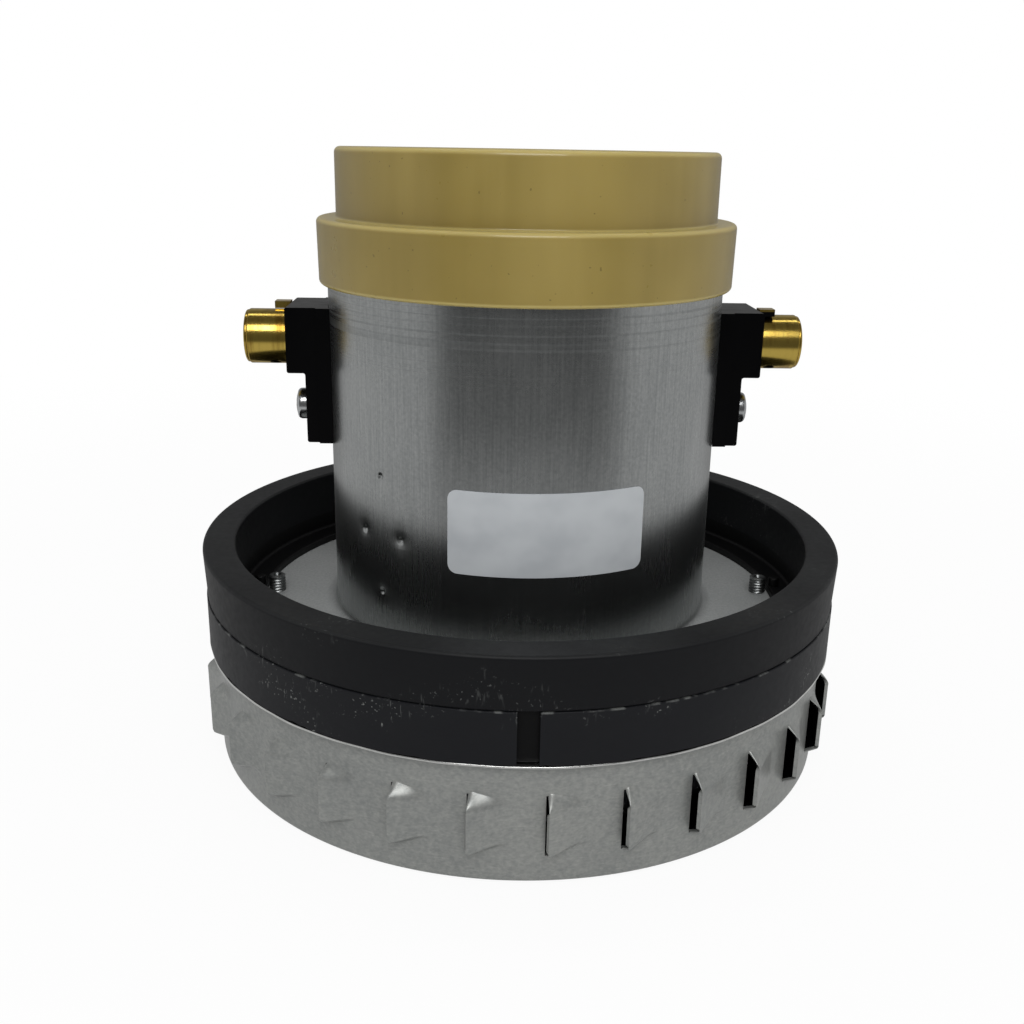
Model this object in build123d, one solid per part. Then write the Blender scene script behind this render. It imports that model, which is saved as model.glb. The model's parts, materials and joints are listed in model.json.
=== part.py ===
"""Vacuum motor unit: a single-stage suction turbine driven by a brushed motor.

The motor axis is Z, the foot of the turbine housing stands on Z = 0 and the
brush axis lies along X. Lengths are in millimetres and angles in degrees.
"""

import os
from math import cos, hypot, pi, radians, sin, sqrt

from build123d import *

# Sizes that several pieces share
overrun = 1.0                 # how far a cut runs past the faces it opens
seat_gap = 0.05               # play of a piece that is pressed or pushed home
running_gap = 0.3             # gap between pieces that move past each other
fastening_gap = 0.25          # radial play of a screw in a clearance hole

# Motor can and flange plate, one drawn piece that everything else is built on
can_radius = 43.3
can_height = 79.6             # from the plate's top face to the can's edge
can_flare = 3.0
plate_height = 31.4
plate_sheet = 1.0
flange_width = 26.1           # from the can's wall to the housing's neck
can_bore = can_radius - plate_sheet
can_top = plate_height + can_height
plate_foot = plate_height - plate_sheet
neck_radius = can_radius + flange_width

# Dimples on two sides of the can, four in a diamond
dimple_radius = 1.5
dimple_depth = 0.55
dimple_angle = -134.5
dimple_side_angle = 7.3
dimple_rise = 24.7            # of the diamond's middle over the plate
dimple_spread = 12.6

# Outlets for the cooling air at the rear foot of the can
vent_rise = 3.5
vent_height = 5.5
vent_width = 17.0
vent_angles = (50.0, 90.0, 130.0)

# Turbine housing: the drawn cup at the foot
housing_sheet = 0.8
housing_corner = 1.2
neck_step = 1.7
neck_height = 4.3
rim_reach = 1.6               # of the turned-out rim over the wall
rim_thickness = 0.5
eye_radius = 22.0
eye_lip_height = 4.4
eye_lip_round = 2.2
housing_radius = neck_radius + neck_step
shoulder_height = plate_foot - neck_height

# Louvres pressed out of the housing wall
louvre_count = 30
louvre_first_angle = -87.9
louvre_margin = 6.3           # plain wall above and below a louvre
louvre_depth = 3.0
louvre_end_rise = 1.9
louvre_width = 8.6
louvre_mouth_slit = 0.5
louvre_low = louvre_margin
louvre_high = shoulder_height - louvre_margin

# Rubber ring on the plate's rim and the split band below it
ring_overhang = 3.6
ring_wall = 7.2
ring_rise = 5.8
ring_height = 11.0
ring_taper = 0.6
ring_edge = 0.5
lip_reach = 5.4
lip_thickness = 1.7
pip_radius = 1.3
pip_height = 2.0
pip_offset = 3.9
skirt_thickness = 2.0         # of the ring's skirt round the housing's neck
skirt_drop = 1.7              # of the skirt below the flange plate
band_thickness = 1.2
band_play = 0.1
band_gap_width = 4.2
band_gap_angle = -90.7
ring_radius = neck_radius + ring_overhang
ring_bore = ring_radius - ring_wall
ring_foot = plate_height + ring_rise
ring_top = ring_foot + ring_height
lip_bore = ring_bore - lip_reach
skirt_radius = neck_radius + skirt_thickness
skirt_foot = plate_foot - skirt_drop
band_bore = skirt_radius + band_play
band_radius = band_bore + band_thickness

# Ball bearings, one above and one below, of the same size
bearing_bore = 4.0
bearing_radius = 11.0
bearing_width = 7.0
ball_radius = 1.95
ball_count = 7
ball_play = 0.05
inner_race_thickness = 2.1
outer_race_thickness = 1.9
shield_thickness = 0.4
shield_inset = 0.25
cage_thickness = 0.7
cage_low = 1.0
cage_high = 2.6
ball_pitch_radius = (bearing_bore + bearing_radius) / 2
inner_race_radius = bearing_bore + inner_race_thickness
outer_race_land = bearing_radius - outer_race_thickness

# Lower bracket under the flange plate, with its bearing cup
lower_bracket_play = 2.0
lower_bracket_sheet = 1.5
lower_bearing_proud = 0.4
cup_hole_play = 0.5
cup_round = 2.0
lower_bracket_radius = neck_radius - housing_sheet - lower_bracket_play
lower_bearing_top = plate_foot + lower_bearing_proud
lower_bearing_foot = lower_bearing_top - bearing_width
cup_hole_radius = inner_race_radius + cup_hole_play

# Upper bracket on the can's top edge, with its bearing cup
upper_bracket_sheet = 1.5
wave_washer_thickness = 0.4
wave_washer_width = 3.0
bracket_collar = 5.0
bracket_rim = 3.8
bracket_arm_width = 9.0
bracket_arm_count = 4
upper_bracket_top = can_top + upper_bracket_sheet
upper_bearing_top = can_top
upper_bearing_foot = upper_bearing_top - bearing_width
upper_cup_foot = upper_bearing_foot - wave_washer_thickness - upper_bracket_sheet
bracket_window_in = bearing_radius + bracket_collar
bracket_window_out = can_bore - bracket_rim

# Fan cover: the moulded cap
cover_step_in = 2.2
cover_skirt_wall = 1.95
cover_overlap = 5.95
cover_step_rise = 7.75
cover_drum_height = 14.3
cover_wall = 2.2
cover_roof = 2.1
cover_inlet_radius = 24.0
cover_inlet_lip = 1.4
cover_edge = 1.2
cover_step_edge = 0.9
cover_bevel = 1.1
cover_radius = can_radius - cover_step_in
cover_skirt_radius = can_radius + seat_gap + cover_skirt_wall
cover_skirt_foot = can_top - cover_overlap
cover_step_height = can_top + cover_step_rise
cover_top = cover_step_height + cover_drum_height
cover_roof_foot = cover_top - cover_roof

# Commutator
commutator_radius = 12.0
commutator_length = 16.6
commutator_gap = 0.4          # from its hub to the upper bracket's cup
bar_depth = 4.2
bar_count = 24
bar_slit_angle = 2.6
riser_reach = 1.8
riser_height = 2.2
hub_flange = 1.0
commutator_high = upper_cup_foot - commutator_gap - hub_flange
commutator_low = commutator_high - commutator_length
commutator_bore = commutator_radius - bar_depth

# Armature and stator
core_rise = 9.6               # from the plate's top face to the lowest lamination
stator_play = 0.1
yoke_width = 7.4
coil_room = 8.3
pole_neck_width = 22.0
pole_shoe_thickness = 3.8
pole_shoe_angle = 58.0
air_gap = 0.7
slot_count = 12
slot_depth = 5.4
slot_mouth = 2.0
slot_width_shares = 0.68      # of the room between two teeth's middles
winding_play = 0.25
end_turn_height = 7.2
end_turn_margin = 1.4
end_turn_bore_gap = 2.5
end_turn_round = 2.6
end_turn_gap = 4.1            # from the end turns to the commutator's hub
coil_width = 10.0
coil_height = 7.0
coil_play = 0.4
coil_corner = 5.0
core_low = plate_height + core_rise
core_high = commutator_low - hub_flange - end_turn_gap - end_turn_height
core_middle = (core_low + core_high) / 2
stator_radius = can_bore - stator_play
yoke_bore = stator_radius - yoke_width
pole_shoe_back = yoke_bore - coil_room
pole_shoe_bore = pole_shoe_back - pole_shoe_thickness
armature_radius = pole_shoe_bore - air_gap
slot_centre_radius = armature_radius - slot_depth
slot_radius = slot_centre_radius * sin(radians(180 / slot_count)) * slot_width_shares

# Impeller, with the spacer, washer and nut that hold it
impeller_rim_gap = 6.3
impeller_sheet = 0.9
vane_count = 7
vane_sheet = 0.9
vane_inner_gap = 3.3
vane_outer_gap = 1.0
vane_sweep_angle = 62.0
vane_bow = 4.5
collar_gap = 1.3
collar_floor_gap = 1.7
collar_length = 3.3
collar_bend = 1.4
shroud_throat_width = 6.8
shroud_dish = 4.0
shroud_bend = 7.0
spacer_length = 3.8
spacer_step = 0.2
lower_washer_radius = 10.0
lower_washer_thickness = 1.5
lower_nut_flats = 11.0
lower_nut_height = 5.5
lower_stud_proud = 2.5
impeller_radius = housing_radius - housing_sheet - impeller_rim_gap
impeller_disc_top = lower_bearing_foot - spacer_length
impeller_disc_low = impeller_disc_top - impeller_sheet
shroud_collar_radius = eye_radius + housing_sheet + collar_gap
shroud_collar_foot = housing_sheet + collar_floor_gap
shroud_throat_height = shroud_collar_foot + collar_length
shroud_throat_radius = shroud_collar_radius + shroud_throat_width
shroud_rim_height = shroud_throat_height + shroud_dish
vane_inner_radius = shroud_collar_radius + vane_inner_gap
vane_outer_radius = impeller_radius - vane_outer_gap
spacer_radius = inner_race_radius - spacer_step

# Cooling fan, its washer and nut
fan_rise = 3.1
fan_rim_gap = 4.4
fan_top_gap = 2.15
fan_disc_thickness = 1.6
fan_blade_count = 11
fan_blade_sheet = 1.3
fan_blade_root_gap = 4.5
fan_blade_sweep_angle = 24.0
fan_blade_bow = 1.6
fan_hub_radius = 8.5
fan_hub_height = 8.0
fan_sleeve_step = 0.4
upper_washer_radius = 6.0
upper_washer_thickness = 1.0
upper_nut_flats = 10.0
upper_nut_height = 4.5
upper_stud_proud = 1.9
fan_radius = cover_radius - cover_wall - fan_rim_gap
fan_disc_low = upper_bracket_top + fan_rise
fan_disc_top = fan_disc_low + fan_disc_thickness
fan_blade_top = cover_roof_foot - cover_inlet_lip - fan_top_gap
fan_blade_root = fan_hub_radius + fan_blade_root_gap
fan_hub_top = fan_disc_low + fan_hub_height
fan_sleeve_radius = inner_race_radius - fan_sleeve_step

# Shaft
shaft_shoulder = 1.0
shaft_chamfer = 0.6
lower_stud_step = 0.5
upper_stud_step = 1.0
journal_radius = bearing_bore
shaft_radius = journal_radius + shaft_shoulder
lower_stud_radius = journal_radius - lower_stud_step
upper_stud_radius = journal_radius - upper_stud_step
lower_stack = lower_washer_thickness + lower_nut_height + lower_stud_proud
upper_stack = upper_washer_thickness + upper_nut_height + upper_stud_proud
lower_stud_end = impeller_disc_low - lower_stack
upper_stud_end = fan_hub_top + upper_stack

# Brush gear, the same on both sides
brush_thickness = 6.3
brush_depth = 8.0
brush_overhang = 1.3          # of a new brush's tail past the holder's boss
brush_play = 0.05
brush_face_gap = 0.3
tube_wall = 0.9               # at the corners of its square bore
tube_reach = 17.7             # from the can's wall to the tube's end
tube_inner_gap = 3.2
tube_rim = 0.25
tube_side_hole_radius = 1.15
tube_side_hole_gap = 2.4
tube_side_hole_angle = 12.0
cap_rim = 0.7
cap_edge = 0.4
cap_plug = 1.6
spring_coil_radius = 2.35
spring_wire_radius = 0.3
spring_turn_count = 8
holder_block_reach = 8.8
holder_leg_reach = 4.8
holder_flange_reach = 2.0
holder_width = 17.0
holder_flange_rim = 1.0
holder_chin = 0.75
holder_leg_length = 15.5
holder_edge = 0.5
holder_boss_wall = 2.1
holder_boss_depth = 4.3
lug_reach = 3.4
lug_width = 2.7
lug_near = -3.6
lug_thickness = 1.05
lug_step = 0.3                # from the lug's top to the holder's top
terminal_sheet = 0.5
brush_height = (commutator_low + commutator_high) / 2
brush_face = commutator_radius + brush_face_gap
tube_radius = hypot(brush_thickness, brush_depth) / 2 + brush_play + tube_wall
tube_end = can_radius + tube_reach
tube_inner_end = commutator_radius + tube_inner_gap
cap_plug_end = tube_end - cap_plug
holder_block_face = can_radius + holder_block_reach
holder_leg_face = can_radius + holder_leg_reach
holder_flange_face = can_radius + holder_flange_reach
holder_flange_width = holder_width + 2 * holder_flange_rim
holder_boss_radius = tube_radius + holder_boss_wall
holder_boss_end = can_bore - holder_boss_depth
brush_tail = holder_boss_end + brush_overhang
lug_low = brush_height + tube_radius + seat_gap
lug_top = lug_low + lug_thickness
lug_far = lug_near + lug_width
holder_top = lug_top + lug_step
holder_block_foot = brush_height - tube_radius - holder_chin
holder_foot = holder_block_foot - holder_leg_length
tube_side_hole_place = holder_block_face + tube_side_hole_gap

# Screws
holder_screw_rise = 7.0
holder_screw_radius = 1.75
holder_screw_depth = 3.8
holder_screw_head_radius = 3.5
holder_screw_head_height = 3.4
holder_screw_slot = 1.0
flange_screw_count = 4
flange_screw_inset = 11.4
flange_screw_radius = 2.0
flange_screw_proud = 3.9
flange_screw_dimple = 0.9
flange_screw_head_radius = 3.9
flange_screw_head_height = 2.6
head_edge = 0.9
hexagon_sides = 6
holder_screw_height = holder_foot + holder_screw_rise
holder_screw_end = can_bore - holder_screw_depth
flange_screw_circle = neck_radius - flange_screw_inset


def turned(*corners):
    """Solid of revolution about the motor axis.

    Each corner is (radius, height) or (radius, height, rounding).
    """
    points = [corner[:2] for corner in corners]
    rounds = [corner[2] if len(corner) > 2 else 0 for corner in corners]
    outline = FilletPolyline(*points, radius=rounds, close=True)
    return revolve(Plane.XZ * make_face(outline.edges()), Axis.Z)


def ring(outer, inner, low, high):
    """Plain ring or, with no inner radius, a plain disc about the motor axis."""
    face = Circle(outer) - Circle(inner) if inner else Circle(outer)
    return Pos(0, 0, low) * extrude(face, high - low)


def pressed(thickness, *corners):
    """Turned sheet piece whose wall lies to the left of its line of travel."""
    points = [corner[:2] for corner in corners]
    rounds = [corner[2] if len(corner) > 2 else 0 for corner in corners[1:-1]]
    line = FilletPolyline(*points, radius=rounds)
    wall = Wire(line.edges()).offset_2d(thickness, side=Side.LEFT, kind=Kind.INTERSECTION)
    return revolve(Plane.XZ * make_face(wall.edges()), Axis.Z)


def around(count, start=0.0):
    """Places for equal copies about the motor axis, the first at a start angle."""
    return [Rot(0, 0, start + 360 * index / count) for index in range(count)]


def block(low_corner, high_corner):
    """Box between two opposite corners."""
    size = [high - low for low, high in zip(low_corner, high_corner)]
    middle = [(high + low) / 2 for low, high in zip(low_corner, high_corner)]
    return Pos(*middle) * Box(*size)


def rod_x(radius, start, end, height):
    """Round rod along X at a height on the brush side of the motor."""
    return Pos(start, 0, height) * Rot(0, 90, 0) * extrude(Circle(radius), end - start)


def louvre_hood():
    """Solid wedge that stands out of the housing wall, mouth plane at angle 0."""
    crest = housing_radius + louvre_depth
    rise = louvre_end_rise / louvre_depth
    root = sqrt(housing_radius**2 - louvre_width**2)
    buried = housing_sheet / 2
    low_in = louvre_low - rise * buried
    high_in = louvre_high + rise * buried
    side = Polyline(
        (housing_radius - buried, low_in),
        (crest, louvre_low + louvre_end_rise),
        (crest, louvre_high - louvre_end_rise),
        (housing_radius - buried, high_in),
        close=True,
    )
    section = Plane.XZ * make_face(side.edges())
    stretch = extrude(section, louvre_width, dir=(0, 1, 0))
    plan = Polyline(
        (housing_radius - buried, 0),
        (crest, 0),
        (root, louvre_width),
        (root - buried, louvre_width),
        close=True,
    )
    column = Pos(0, 0, low_in) * extrude(make_face(plan.edges()), high_in - low_in)
    return stretch & column


def louvre_hollow():
    """Air way under a louvre hood, open at the mouth and into the housing."""
    crest = housing_radius + louvre_depth
    rise = louvre_end_rise / louvre_depth
    root = sqrt(housing_radius**2 - louvre_width**2)
    slope = (crest - root) / louvre_width
    roof = crest - housing_sheet * hypot(1, slope)
    end_wall = housing_sheet * hypot(1, rise)
    deep = root - 2 * housing_sheet
    low_deep = louvre_low + end_wall - rise * (housing_radius - deep)
    high_deep = louvre_high - end_wall + rise * (housing_radius - deep)
    low_roof = louvre_low + end_wall + rise * (roof - housing_radius)
    high_roof = louvre_high - end_wall - rise * (roof - housing_radius)
    side = Polyline(
        (deep, low_deep), (roof, low_roof), (roof, high_roof), (deep, high_deep), close=True
    )
    section = Pos(0, -louvre_mouth_slit, 0) * Plane.XZ * make_face(side.edges())
    stretch = extrude(section, louvre_width + louvre_mouth_slit, dir=(0, 1, 0))
    plan = Polyline(
        (deep, -louvre_mouth_slit),
        (roof, -louvre_mouth_slit),
        (roof, 0),
        (roof - slope * louvre_width, louvre_width),
        (deep, louvre_width),
        close=True,
    )
    column = Pos(0, 0, low_deep) * extrude(make_face(plan.edges()), high_deep - low_deep)
    return stretch & column


def turbine_housing():
    """Drawn cup with an inlet eye, thirty pressed louvres, a rim and a neck."""
    cup = pressed(
        housing_sheet,
        (eye_radius, eye_lip_height),
        (eye_radius, 0, eye_lip_round),
        (housing_radius, 0, housing_corner),
        (housing_radius, shoulder_height),
        (neck_radius, shoulder_height),
        (neck_radius, plate_foot),
    )
    rim_foot = shoulder_height - rim_thickness
    cup = cup + ring(housing_radius + rim_reach, neck_radius, rim_foot, shoulder_height)
    places = around(louvre_count, louvre_first_angle)
    hood = louvre_hood()
    hollow = louvre_hollow()
    cup = cup + [place * hood for place in places]
    return cup - [place * hollow for place in places]


def motor_can():
    """Drawn can that flares into the flange plate, with its holes and dimples."""
    can = pressed(
        plate_sheet,
        (neck_radius, plate_height),
        (can_radius, plate_height, can_flare),
        (can_radius, can_top),
    )
    cuts = []
    for side in (0, 180):
        turn = Rot(0, 0, side)
        reach = can_radius + overrun
        inside = can_bore - 2 * overrun
        cuts.append(turn * rod_x(holder_boss_radius + seat_gap, inside, reach, brush_height))
        screw_hole = holder_screw_radius + seat_gap
        cuts.append(turn * rod_x(screw_hole, inside, reach, holder_screw_height))
        for turned_by, raised_by in ((-1, 0), (1, 0), (0, -1), (0, 1)):
            angle = dimple_angle + turned_by * dimple_side_angle
            height = plate_height + dimple_rise + raised_by * dimple_spread
            centre = can_radius + dimple_radius - dimple_depth
            place = turn * Rot(0, 0, angle) * Pos(centre, 0, height)
            cuts.append(place * Sphere(dimple_radius))
    vent_low = plate_height + vent_rise
    for angle in vent_angles:
        corner = (can_bore - 2 * overrun, -vent_width / 2, vent_low)
        far = (can_radius + overrun, vent_width / 2, vent_low + vent_height)
        cuts.append(Rot(0, 0, angle) * block(corner, far))
    hole = flange_screw_radius + seat_gap
    for place in around(flange_screw_count):
        low = plate_foot - overrun
        high = plate_height + overrun
        cuts.append(place * Pos(flange_screw_circle, 0, 0) * ring(hole, 0, low, high))
    return can - cuts


def rubber_ring():
    """Seal ring on the plate: wall, lip, skirt and a pip beside each screw."""
    lip_top = plate_height + lip_thickness
    wall = turned(
        (lip_bore, plate_height),
        (neck_radius, plate_height),
        (neck_radius, skirt_foot),
        (skirt_radius, skirt_foot),
        (skirt_radius, ring_foot),
        (ring_radius - ring_taper, ring_foot),
        (ring_radius, ring_top, ring_edge),
        (ring_bore, ring_top, ring_edge),
        (ring_bore, lip_top),
        (lip_bore, lip_top),
    )
    pip = Pos(flange_screw_circle + pip_offset, 0, 0) * ring(
        pip_radius, 0, plate_height + lip_thickness / 2, lip_top + pip_height
    )
    return wall + [place * pip for place in around(flange_screw_count)]


def rubber_band():
    """Flat band round the ring's skirt, split at the front."""
    band = ring(band_radius, band_bore, shoulder_height, ring_foot - band_play)
    cut = block(
        (neck_radius - overrun, -band_gap_width / 2, shoulder_height - overrun),
        (band_radius + overrun, band_gap_width / 2, ring_foot + overrun),
    )
    return band - Rot(0, 0, band_gap_angle) * cut


def lower_bracket():
    """Pressed plate under the flange plate that carries the lower bearing."""
    plate = pressed(
        lower_bracket_sheet,
        (lower_bracket_radius, plate_foot),
        (bearing_radius, plate_foot, cup_round),
        (bearing_radius, lower_bearing_foot),
        (cup_hole_radius, lower_bearing_foot),
    )
    hole = flange_screw_radius + fastening_gap
    low = plate_foot - lower_bracket_sheet - overrun
    drill = Pos(flange_screw_circle, 0, 0) * ring(hole, 0, low, plate_height)
    return plate - [place * drill for place in around(flange_screw_count)]


def upper_bracket():
    """Pressed plate on the can's top edge with four air windows and a bearing cup."""
    cup_floor = upper_cup_foot + upper_bracket_sheet
    plate = pressed(
        upper_bracket_sheet,
        (can_radius - seat_gap, upper_bracket_top),
        (bearing_radius, upper_bracket_top),
        (bearing_radius, cup_floor),
        (cup_hole_radius, cup_floor),
    )
    low = can_top - overrun
    high = upper_bracket_top + overrun
    opening = ring(bracket_window_out, bracket_window_in, low, high)
    arm = block(
        (0, -bracket_arm_width / 2, low - overrun),
        (bracket_window_out + overrun, bracket_arm_width / 2, high + overrun),
    )
    first = 180 / bracket_arm_count
    opening = opening - [place * arm for place in around(bracket_arm_count, first)]
    return plate - opening


def wave_washer():
    """Preload washer between the upper bearing and its cup."""
    outer = bearing_radius - seat_gap
    foot = upper_bearing_foot - wave_washer_thickness
    return ring(outer, outer - wave_washer_width, foot, upper_bearing_foot)


def bearing_outer(foot):
    """Outer race with a shield at each face."""
    race = ring(bearing_radius, outer_race_land, foot, foot + bearing_width)
    middle = foot + bearing_width / 2
    race = race - ring(
        ball_pitch_radius + ball_radius + ball_play,
        outer_race_land - overrun,
        middle - ball_radius,
        middle + ball_radius,
    )
    lower = foot + shield_inset
    upper = foot + bearing_width - shield_inset - shield_thickness
    bore = inner_race_radius + running_gap
    shields = [
        ring(outer_race_land + seat_gap, bore, low, low + shield_thickness)
        for low in (lower, upper)
    ]
    return race + shields


def bearing_inner(foot):
    """Inner race with its ball track."""
    race = ring(inner_race_radius, bearing_bore, foot, foot + bearing_width)
    middle = foot + bearing_width / 2
    track = ring(
        inner_race_radius + overrun,
        ball_pitch_radius - ball_radius - ball_play,
        middle - ball_radius,
        middle + ball_radius,
    )
    return race - track


def bearing_balls(foot):
    """Seven balls and the cage that spaces them."""
    middle = foot + bearing_width / 2
    places = [place * Pos(ball_pitch_radius, 0, middle) for place in around(ball_count)]
    balls = [place * Sphere(ball_radius) for place in places]
    cage = ring(
        ball_pitch_radius + cage_thickness,
        ball_pitch_radius - cage_thickness,
        middle - cage_low,
        middle + cage_high,
    )
    pocket = Sphere(ball_radius + ball_play)
    cage = cage - [place * pocket for place in places]
    return Compound(children=[*cage.solids(), *[ball.solids()[0] for ball in balls]])


def fan_cover():
    """Moulded cap: a skirt over the can, a narrower drum and a round air inlet."""
    inner_lip_radius = cover_inlet_radius + cover_wall
    inner_lip_foot = cover_roof_foot - cover_inlet_lip
    return turned(
        (can_radius + seat_gap, cover_skirt_foot),
        (cover_skirt_radius - cover_bevel, cover_skirt_foot),
        (cover_skirt_radius, cover_skirt_foot + cover_bevel),
        (cover_skirt_radius, cover_step_height, cover_step_edge),
        (cover_radius, cover_step_height),
        (cover_radius, cover_top, cover_edge),
        (cover_inlet_radius, cover_top, cover_edge),
        (cover_inlet_radius, inner_lip_foot),
        (inner_lip_radius, inner_lip_foot),
        (inner_lip_radius, cover_roof_foot),
        (cover_radius - cover_wall, cover_roof_foot, cover_edge),
        (cover_radius - cover_wall, upper_bracket_top),
        (can_radius + seat_gap, upper_bracket_top),
    )


def shaft():
    """Stepped shaft with a stud at each end."""
    return turned(
        (0, lower_stud_end),
        (lower_stud_radius - shaft_chamfer, lower_stud_end),
        (lower_stud_radius, lower_stud_end + shaft_chamfer),
        (lower_stud_radius, impeller_disc_low),
        (journal_radius, impeller_disc_low),
        (journal_radius, lower_bearing_top),
        (shaft_radius, lower_bearing_top),
        (shaft_radius, upper_bearing_foot),
        (journal_radius, upper_bearing_foot),
        (journal_radius, fan_hub_top),
        (upper_stud_radius, fan_hub_top),
        (upper_stud_radius, upper_stud_end - shaft_chamfer),
        (upper_stud_radius - shaft_chamfer, upper_stud_end),
        (0, upper_stud_end),
    )


def armature_core():
    """Stack of laminations with twelve half-closed slots."""
    slot = Pos(slot_centre_radius, 0) * Circle(slot_radius)
    mouth_length = armature_radius + overrun - slot_centre_radius
    mouth = Pos(slot_centre_radius + mouth_length / 2, 0) * Rectangle(mouth_length, slot_mouth)
    face = Circle(armature_radius) - Circle(shaft_radius)
    face = face - [place * (slot + mouth) for place in around(slot_count)]
    return Pos(0, 0, core_low) * extrude(face, core_high - core_low)


def armature_winding():
    """Wire bundles in the slots, joined by the domed end turns."""
    end_turn_inner = shaft_radius + end_turn_bore_gap
    end_turn_outer = armature_radius - end_turn_margin
    lower = turned(
        (end_turn_inner, core_low),
        (end_turn_inner, core_low - end_turn_height, end_turn_round),
        (end_turn_outer, core_low - end_turn_height, end_turn_round),
        (end_turn_outer, core_low),
    )
    upper = turned(
        (end_turn_inner, core_high),
        (end_turn_outer, core_high),
        (end_turn_outer, core_high + end_turn_height, end_turn_round),
        (end_turn_inner, core_high + end_turn_height, end_turn_round),
    )
    bundle = Pos(slot_centre_radius, 0, 0) * ring(
        slot_radius - winding_play, 0, core_low - overrun, core_high + overrun
    )
    return lower + upper + [place * bundle for place in around(slot_count)]


def stator_core():
    """Stack of laminations with two poles that face the armature."""
    yoke = Circle(stator_radius) - Circle(yoke_bore)
    neck_length = yoke_bore + overrun - pole_shoe_bore
    neck_middle = pole_shoe_bore + neck_length / 2
    neck = Pos(0, neck_middle) * Rectangle(pole_neck_width, neck_length)
    half = radians(pole_shoe_angle)
    spread = 2 * pole_shoe_back
    corner = (spread * sin(half), spread * cos(half))
    fan_shape = Polyline((0, 0), corner, (-corner[0], corner[1]), close=True)
    shoe = (Circle(pole_shoe_back) - Circle(pole_shoe_bore)) & make_face(fan_shape.edges())
    pole = (neck - Circle(pole_shoe_bore)) + shoe
    face = yoke + pole + Rot(0, 0, 180) * pole
    return Pos(0, 0, core_low) * extrude(face, core_high - core_low)


def field_coil():
    """Field coil wound round a pole neck, bent to follow the yoke."""
    inner_width = pole_neck_width + 2 * coil_play
    inner_height = core_high - core_low + 2 * coil_play
    outer_width = inner_width + 2 * coil_width
    outer_height = inner_height + 2 * coil_height
    window = Rectangle(inner_width, inner_height)
    frame = RectangleRounded(outer_width, outer_height, coil_corner) - window
    loop = Pos(0, 0, core_middle) * extrude(Plane.XZ * frame, yoke_bore, dir=(0, 1, 0))
    half = outer_height / 2 + overrun
    room = ring(
        yoke_bore - coil_play,
        pole_shoe_back + coil_play,
        core_middle - half,
        core_middle + half,
    )
    return loop & room


def commutator_bars():
    """Ring of separate copper bars, each with a riser for its wires."""
    riser_radius = commutator_radius + riser_reach
    profile = Polyline(
        (commutator_bore, commutator_low),
        (riser_radius, commutator_low),
        (riser_radius, commutator_low + riser_height),
        (commutator_radius, commutator_low + riser_height),
        (commutator_radius, commutator_high),
        (commutator_bore, commutator_high),
        close=True,
    )
    pitch = 360 / bar_count
    bar = revolve(Plane.XZ * make_face(profile.edges()), Axis.Z, pitch - bar_slit_angle)
    bars = [(place * bar).solids()[0] for place in around(bar_count)]
    return Compound(children=bars)


def commutator_hub():
    """Moulded hub that holds the bars on the shaft."""
    flange = commutator_radius - hub_flange
    return turned(
        (shaft_radius, commutator_low - hub_flange),
        (flange, commutator_low - hub_flange),
        (flange, commutator_low),
        (commutator_bore, commutator_low),
        (commutator_bore, commutator_high),
        (flange, commutator_high),
        (flange, commutator_high + hub_flange),
        (shaft_radius, commutator_high + hub_flange),
    )


def curved_vane(inner, outer, sweep_angle, bow, thickness):
    """Plan of a vane that trails as it runs out, bowed like a circular arc."""
    start = (inner, 0)
    end = (outer * cos(radians(sweep_angle)), outer * sin(radians(sweep_angle)))
    chord = hypot(end[0] - start[0], end[1] - start[1])
    across = ((end[1] - start[1]) / chord, (start[0] - end[0]) / chord)
    middle = (
        (start[0] + end[0]) / 2 + bow * across[0],
        (start[1] + end[1]) / 2 + bow * across[1],
    )
    return SlotArc(ThreePointArc(start, middle, end), thickness)


def impeller_disc():
    """Flat back disc of the impeller."""
    return ring(impeller_radius, journal_radius, impeller_disc_low, impeller_disc_top)


def shroud_line():
    """Corners of the shroud's air side, from the rim in to the collar."""
    return (
        (impeller_radius, shroud_rim_height),
        (shroud_throat_radius, shroud_throat_height, shroud_bend),
        (shroud_collar_radius, shroud_throat_height, collar_bend),
        (shroud_collar_radius, shroud_collar_foot),
    )


def impeller_shroud():
    """Dished front shroud whose collar runs round the housing's inlet lip."""
    return pressed(impeller_sheet, *shroud_line())


def impeller_vanes():
    """Curved vanes between the back disc and the dished shroud."""
    plan = curved_vane(
        vane_inner_radius, vane_outer_radius, vane_sweep_angle, vane_bow, vane_sheet
    )
    height = impeller_disc_low - shroud_collar_foot
    vane = Pos(0, 0, shroud_collar_foot) * extrude(plan, height)
    below = turned(
        *shroud_line(),
        (0, shroud_collar_foot),
        (0, shroud_collar_foot - overrun),
        (impeller_radius, shroud_collar_foot - overrun),
    )
    vane = vane - below
    vanes = [(place * vane).solids()[0] for place in around(vane_count)]
    return Compound(children=vanes)


def spacer_sleeve():
    """Sleeve between the impeller and the lower bearing's inner race."""
    return ring(spacer_radius, journal_radius, impeller_disc_top, lower_bearing_foot)


def hexagon_nut(flats, height, bore, low):
    """Hexagon nut on the motor axis."""
    hexagon = RegularPolygon(flats / 2, hexagon_sides, major_radius=False)
    nut = Pos(0, 0, low) * extrude(hexagon - Circle(bore), height)
    crown = flats / 2 / cos(pi / hexagon_sides)
    bevel = crown - flats / 2
    dome = turned(
        (0, low),
        (flats / 2, low),
        (crown, low + bevel),
        (crown, low + height - bevel),
        (flats / 2, low + height),
        (0, low + height),
    )
    return nut & dome


def lower_washer():
    """Plain washer that presses the impeller against its spacer."""
    low = impeller_disc_low - lower_washer_thickness
    return ring(lower_washer_radius, lower_stud_radius, low, impeller_disc_low)


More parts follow.
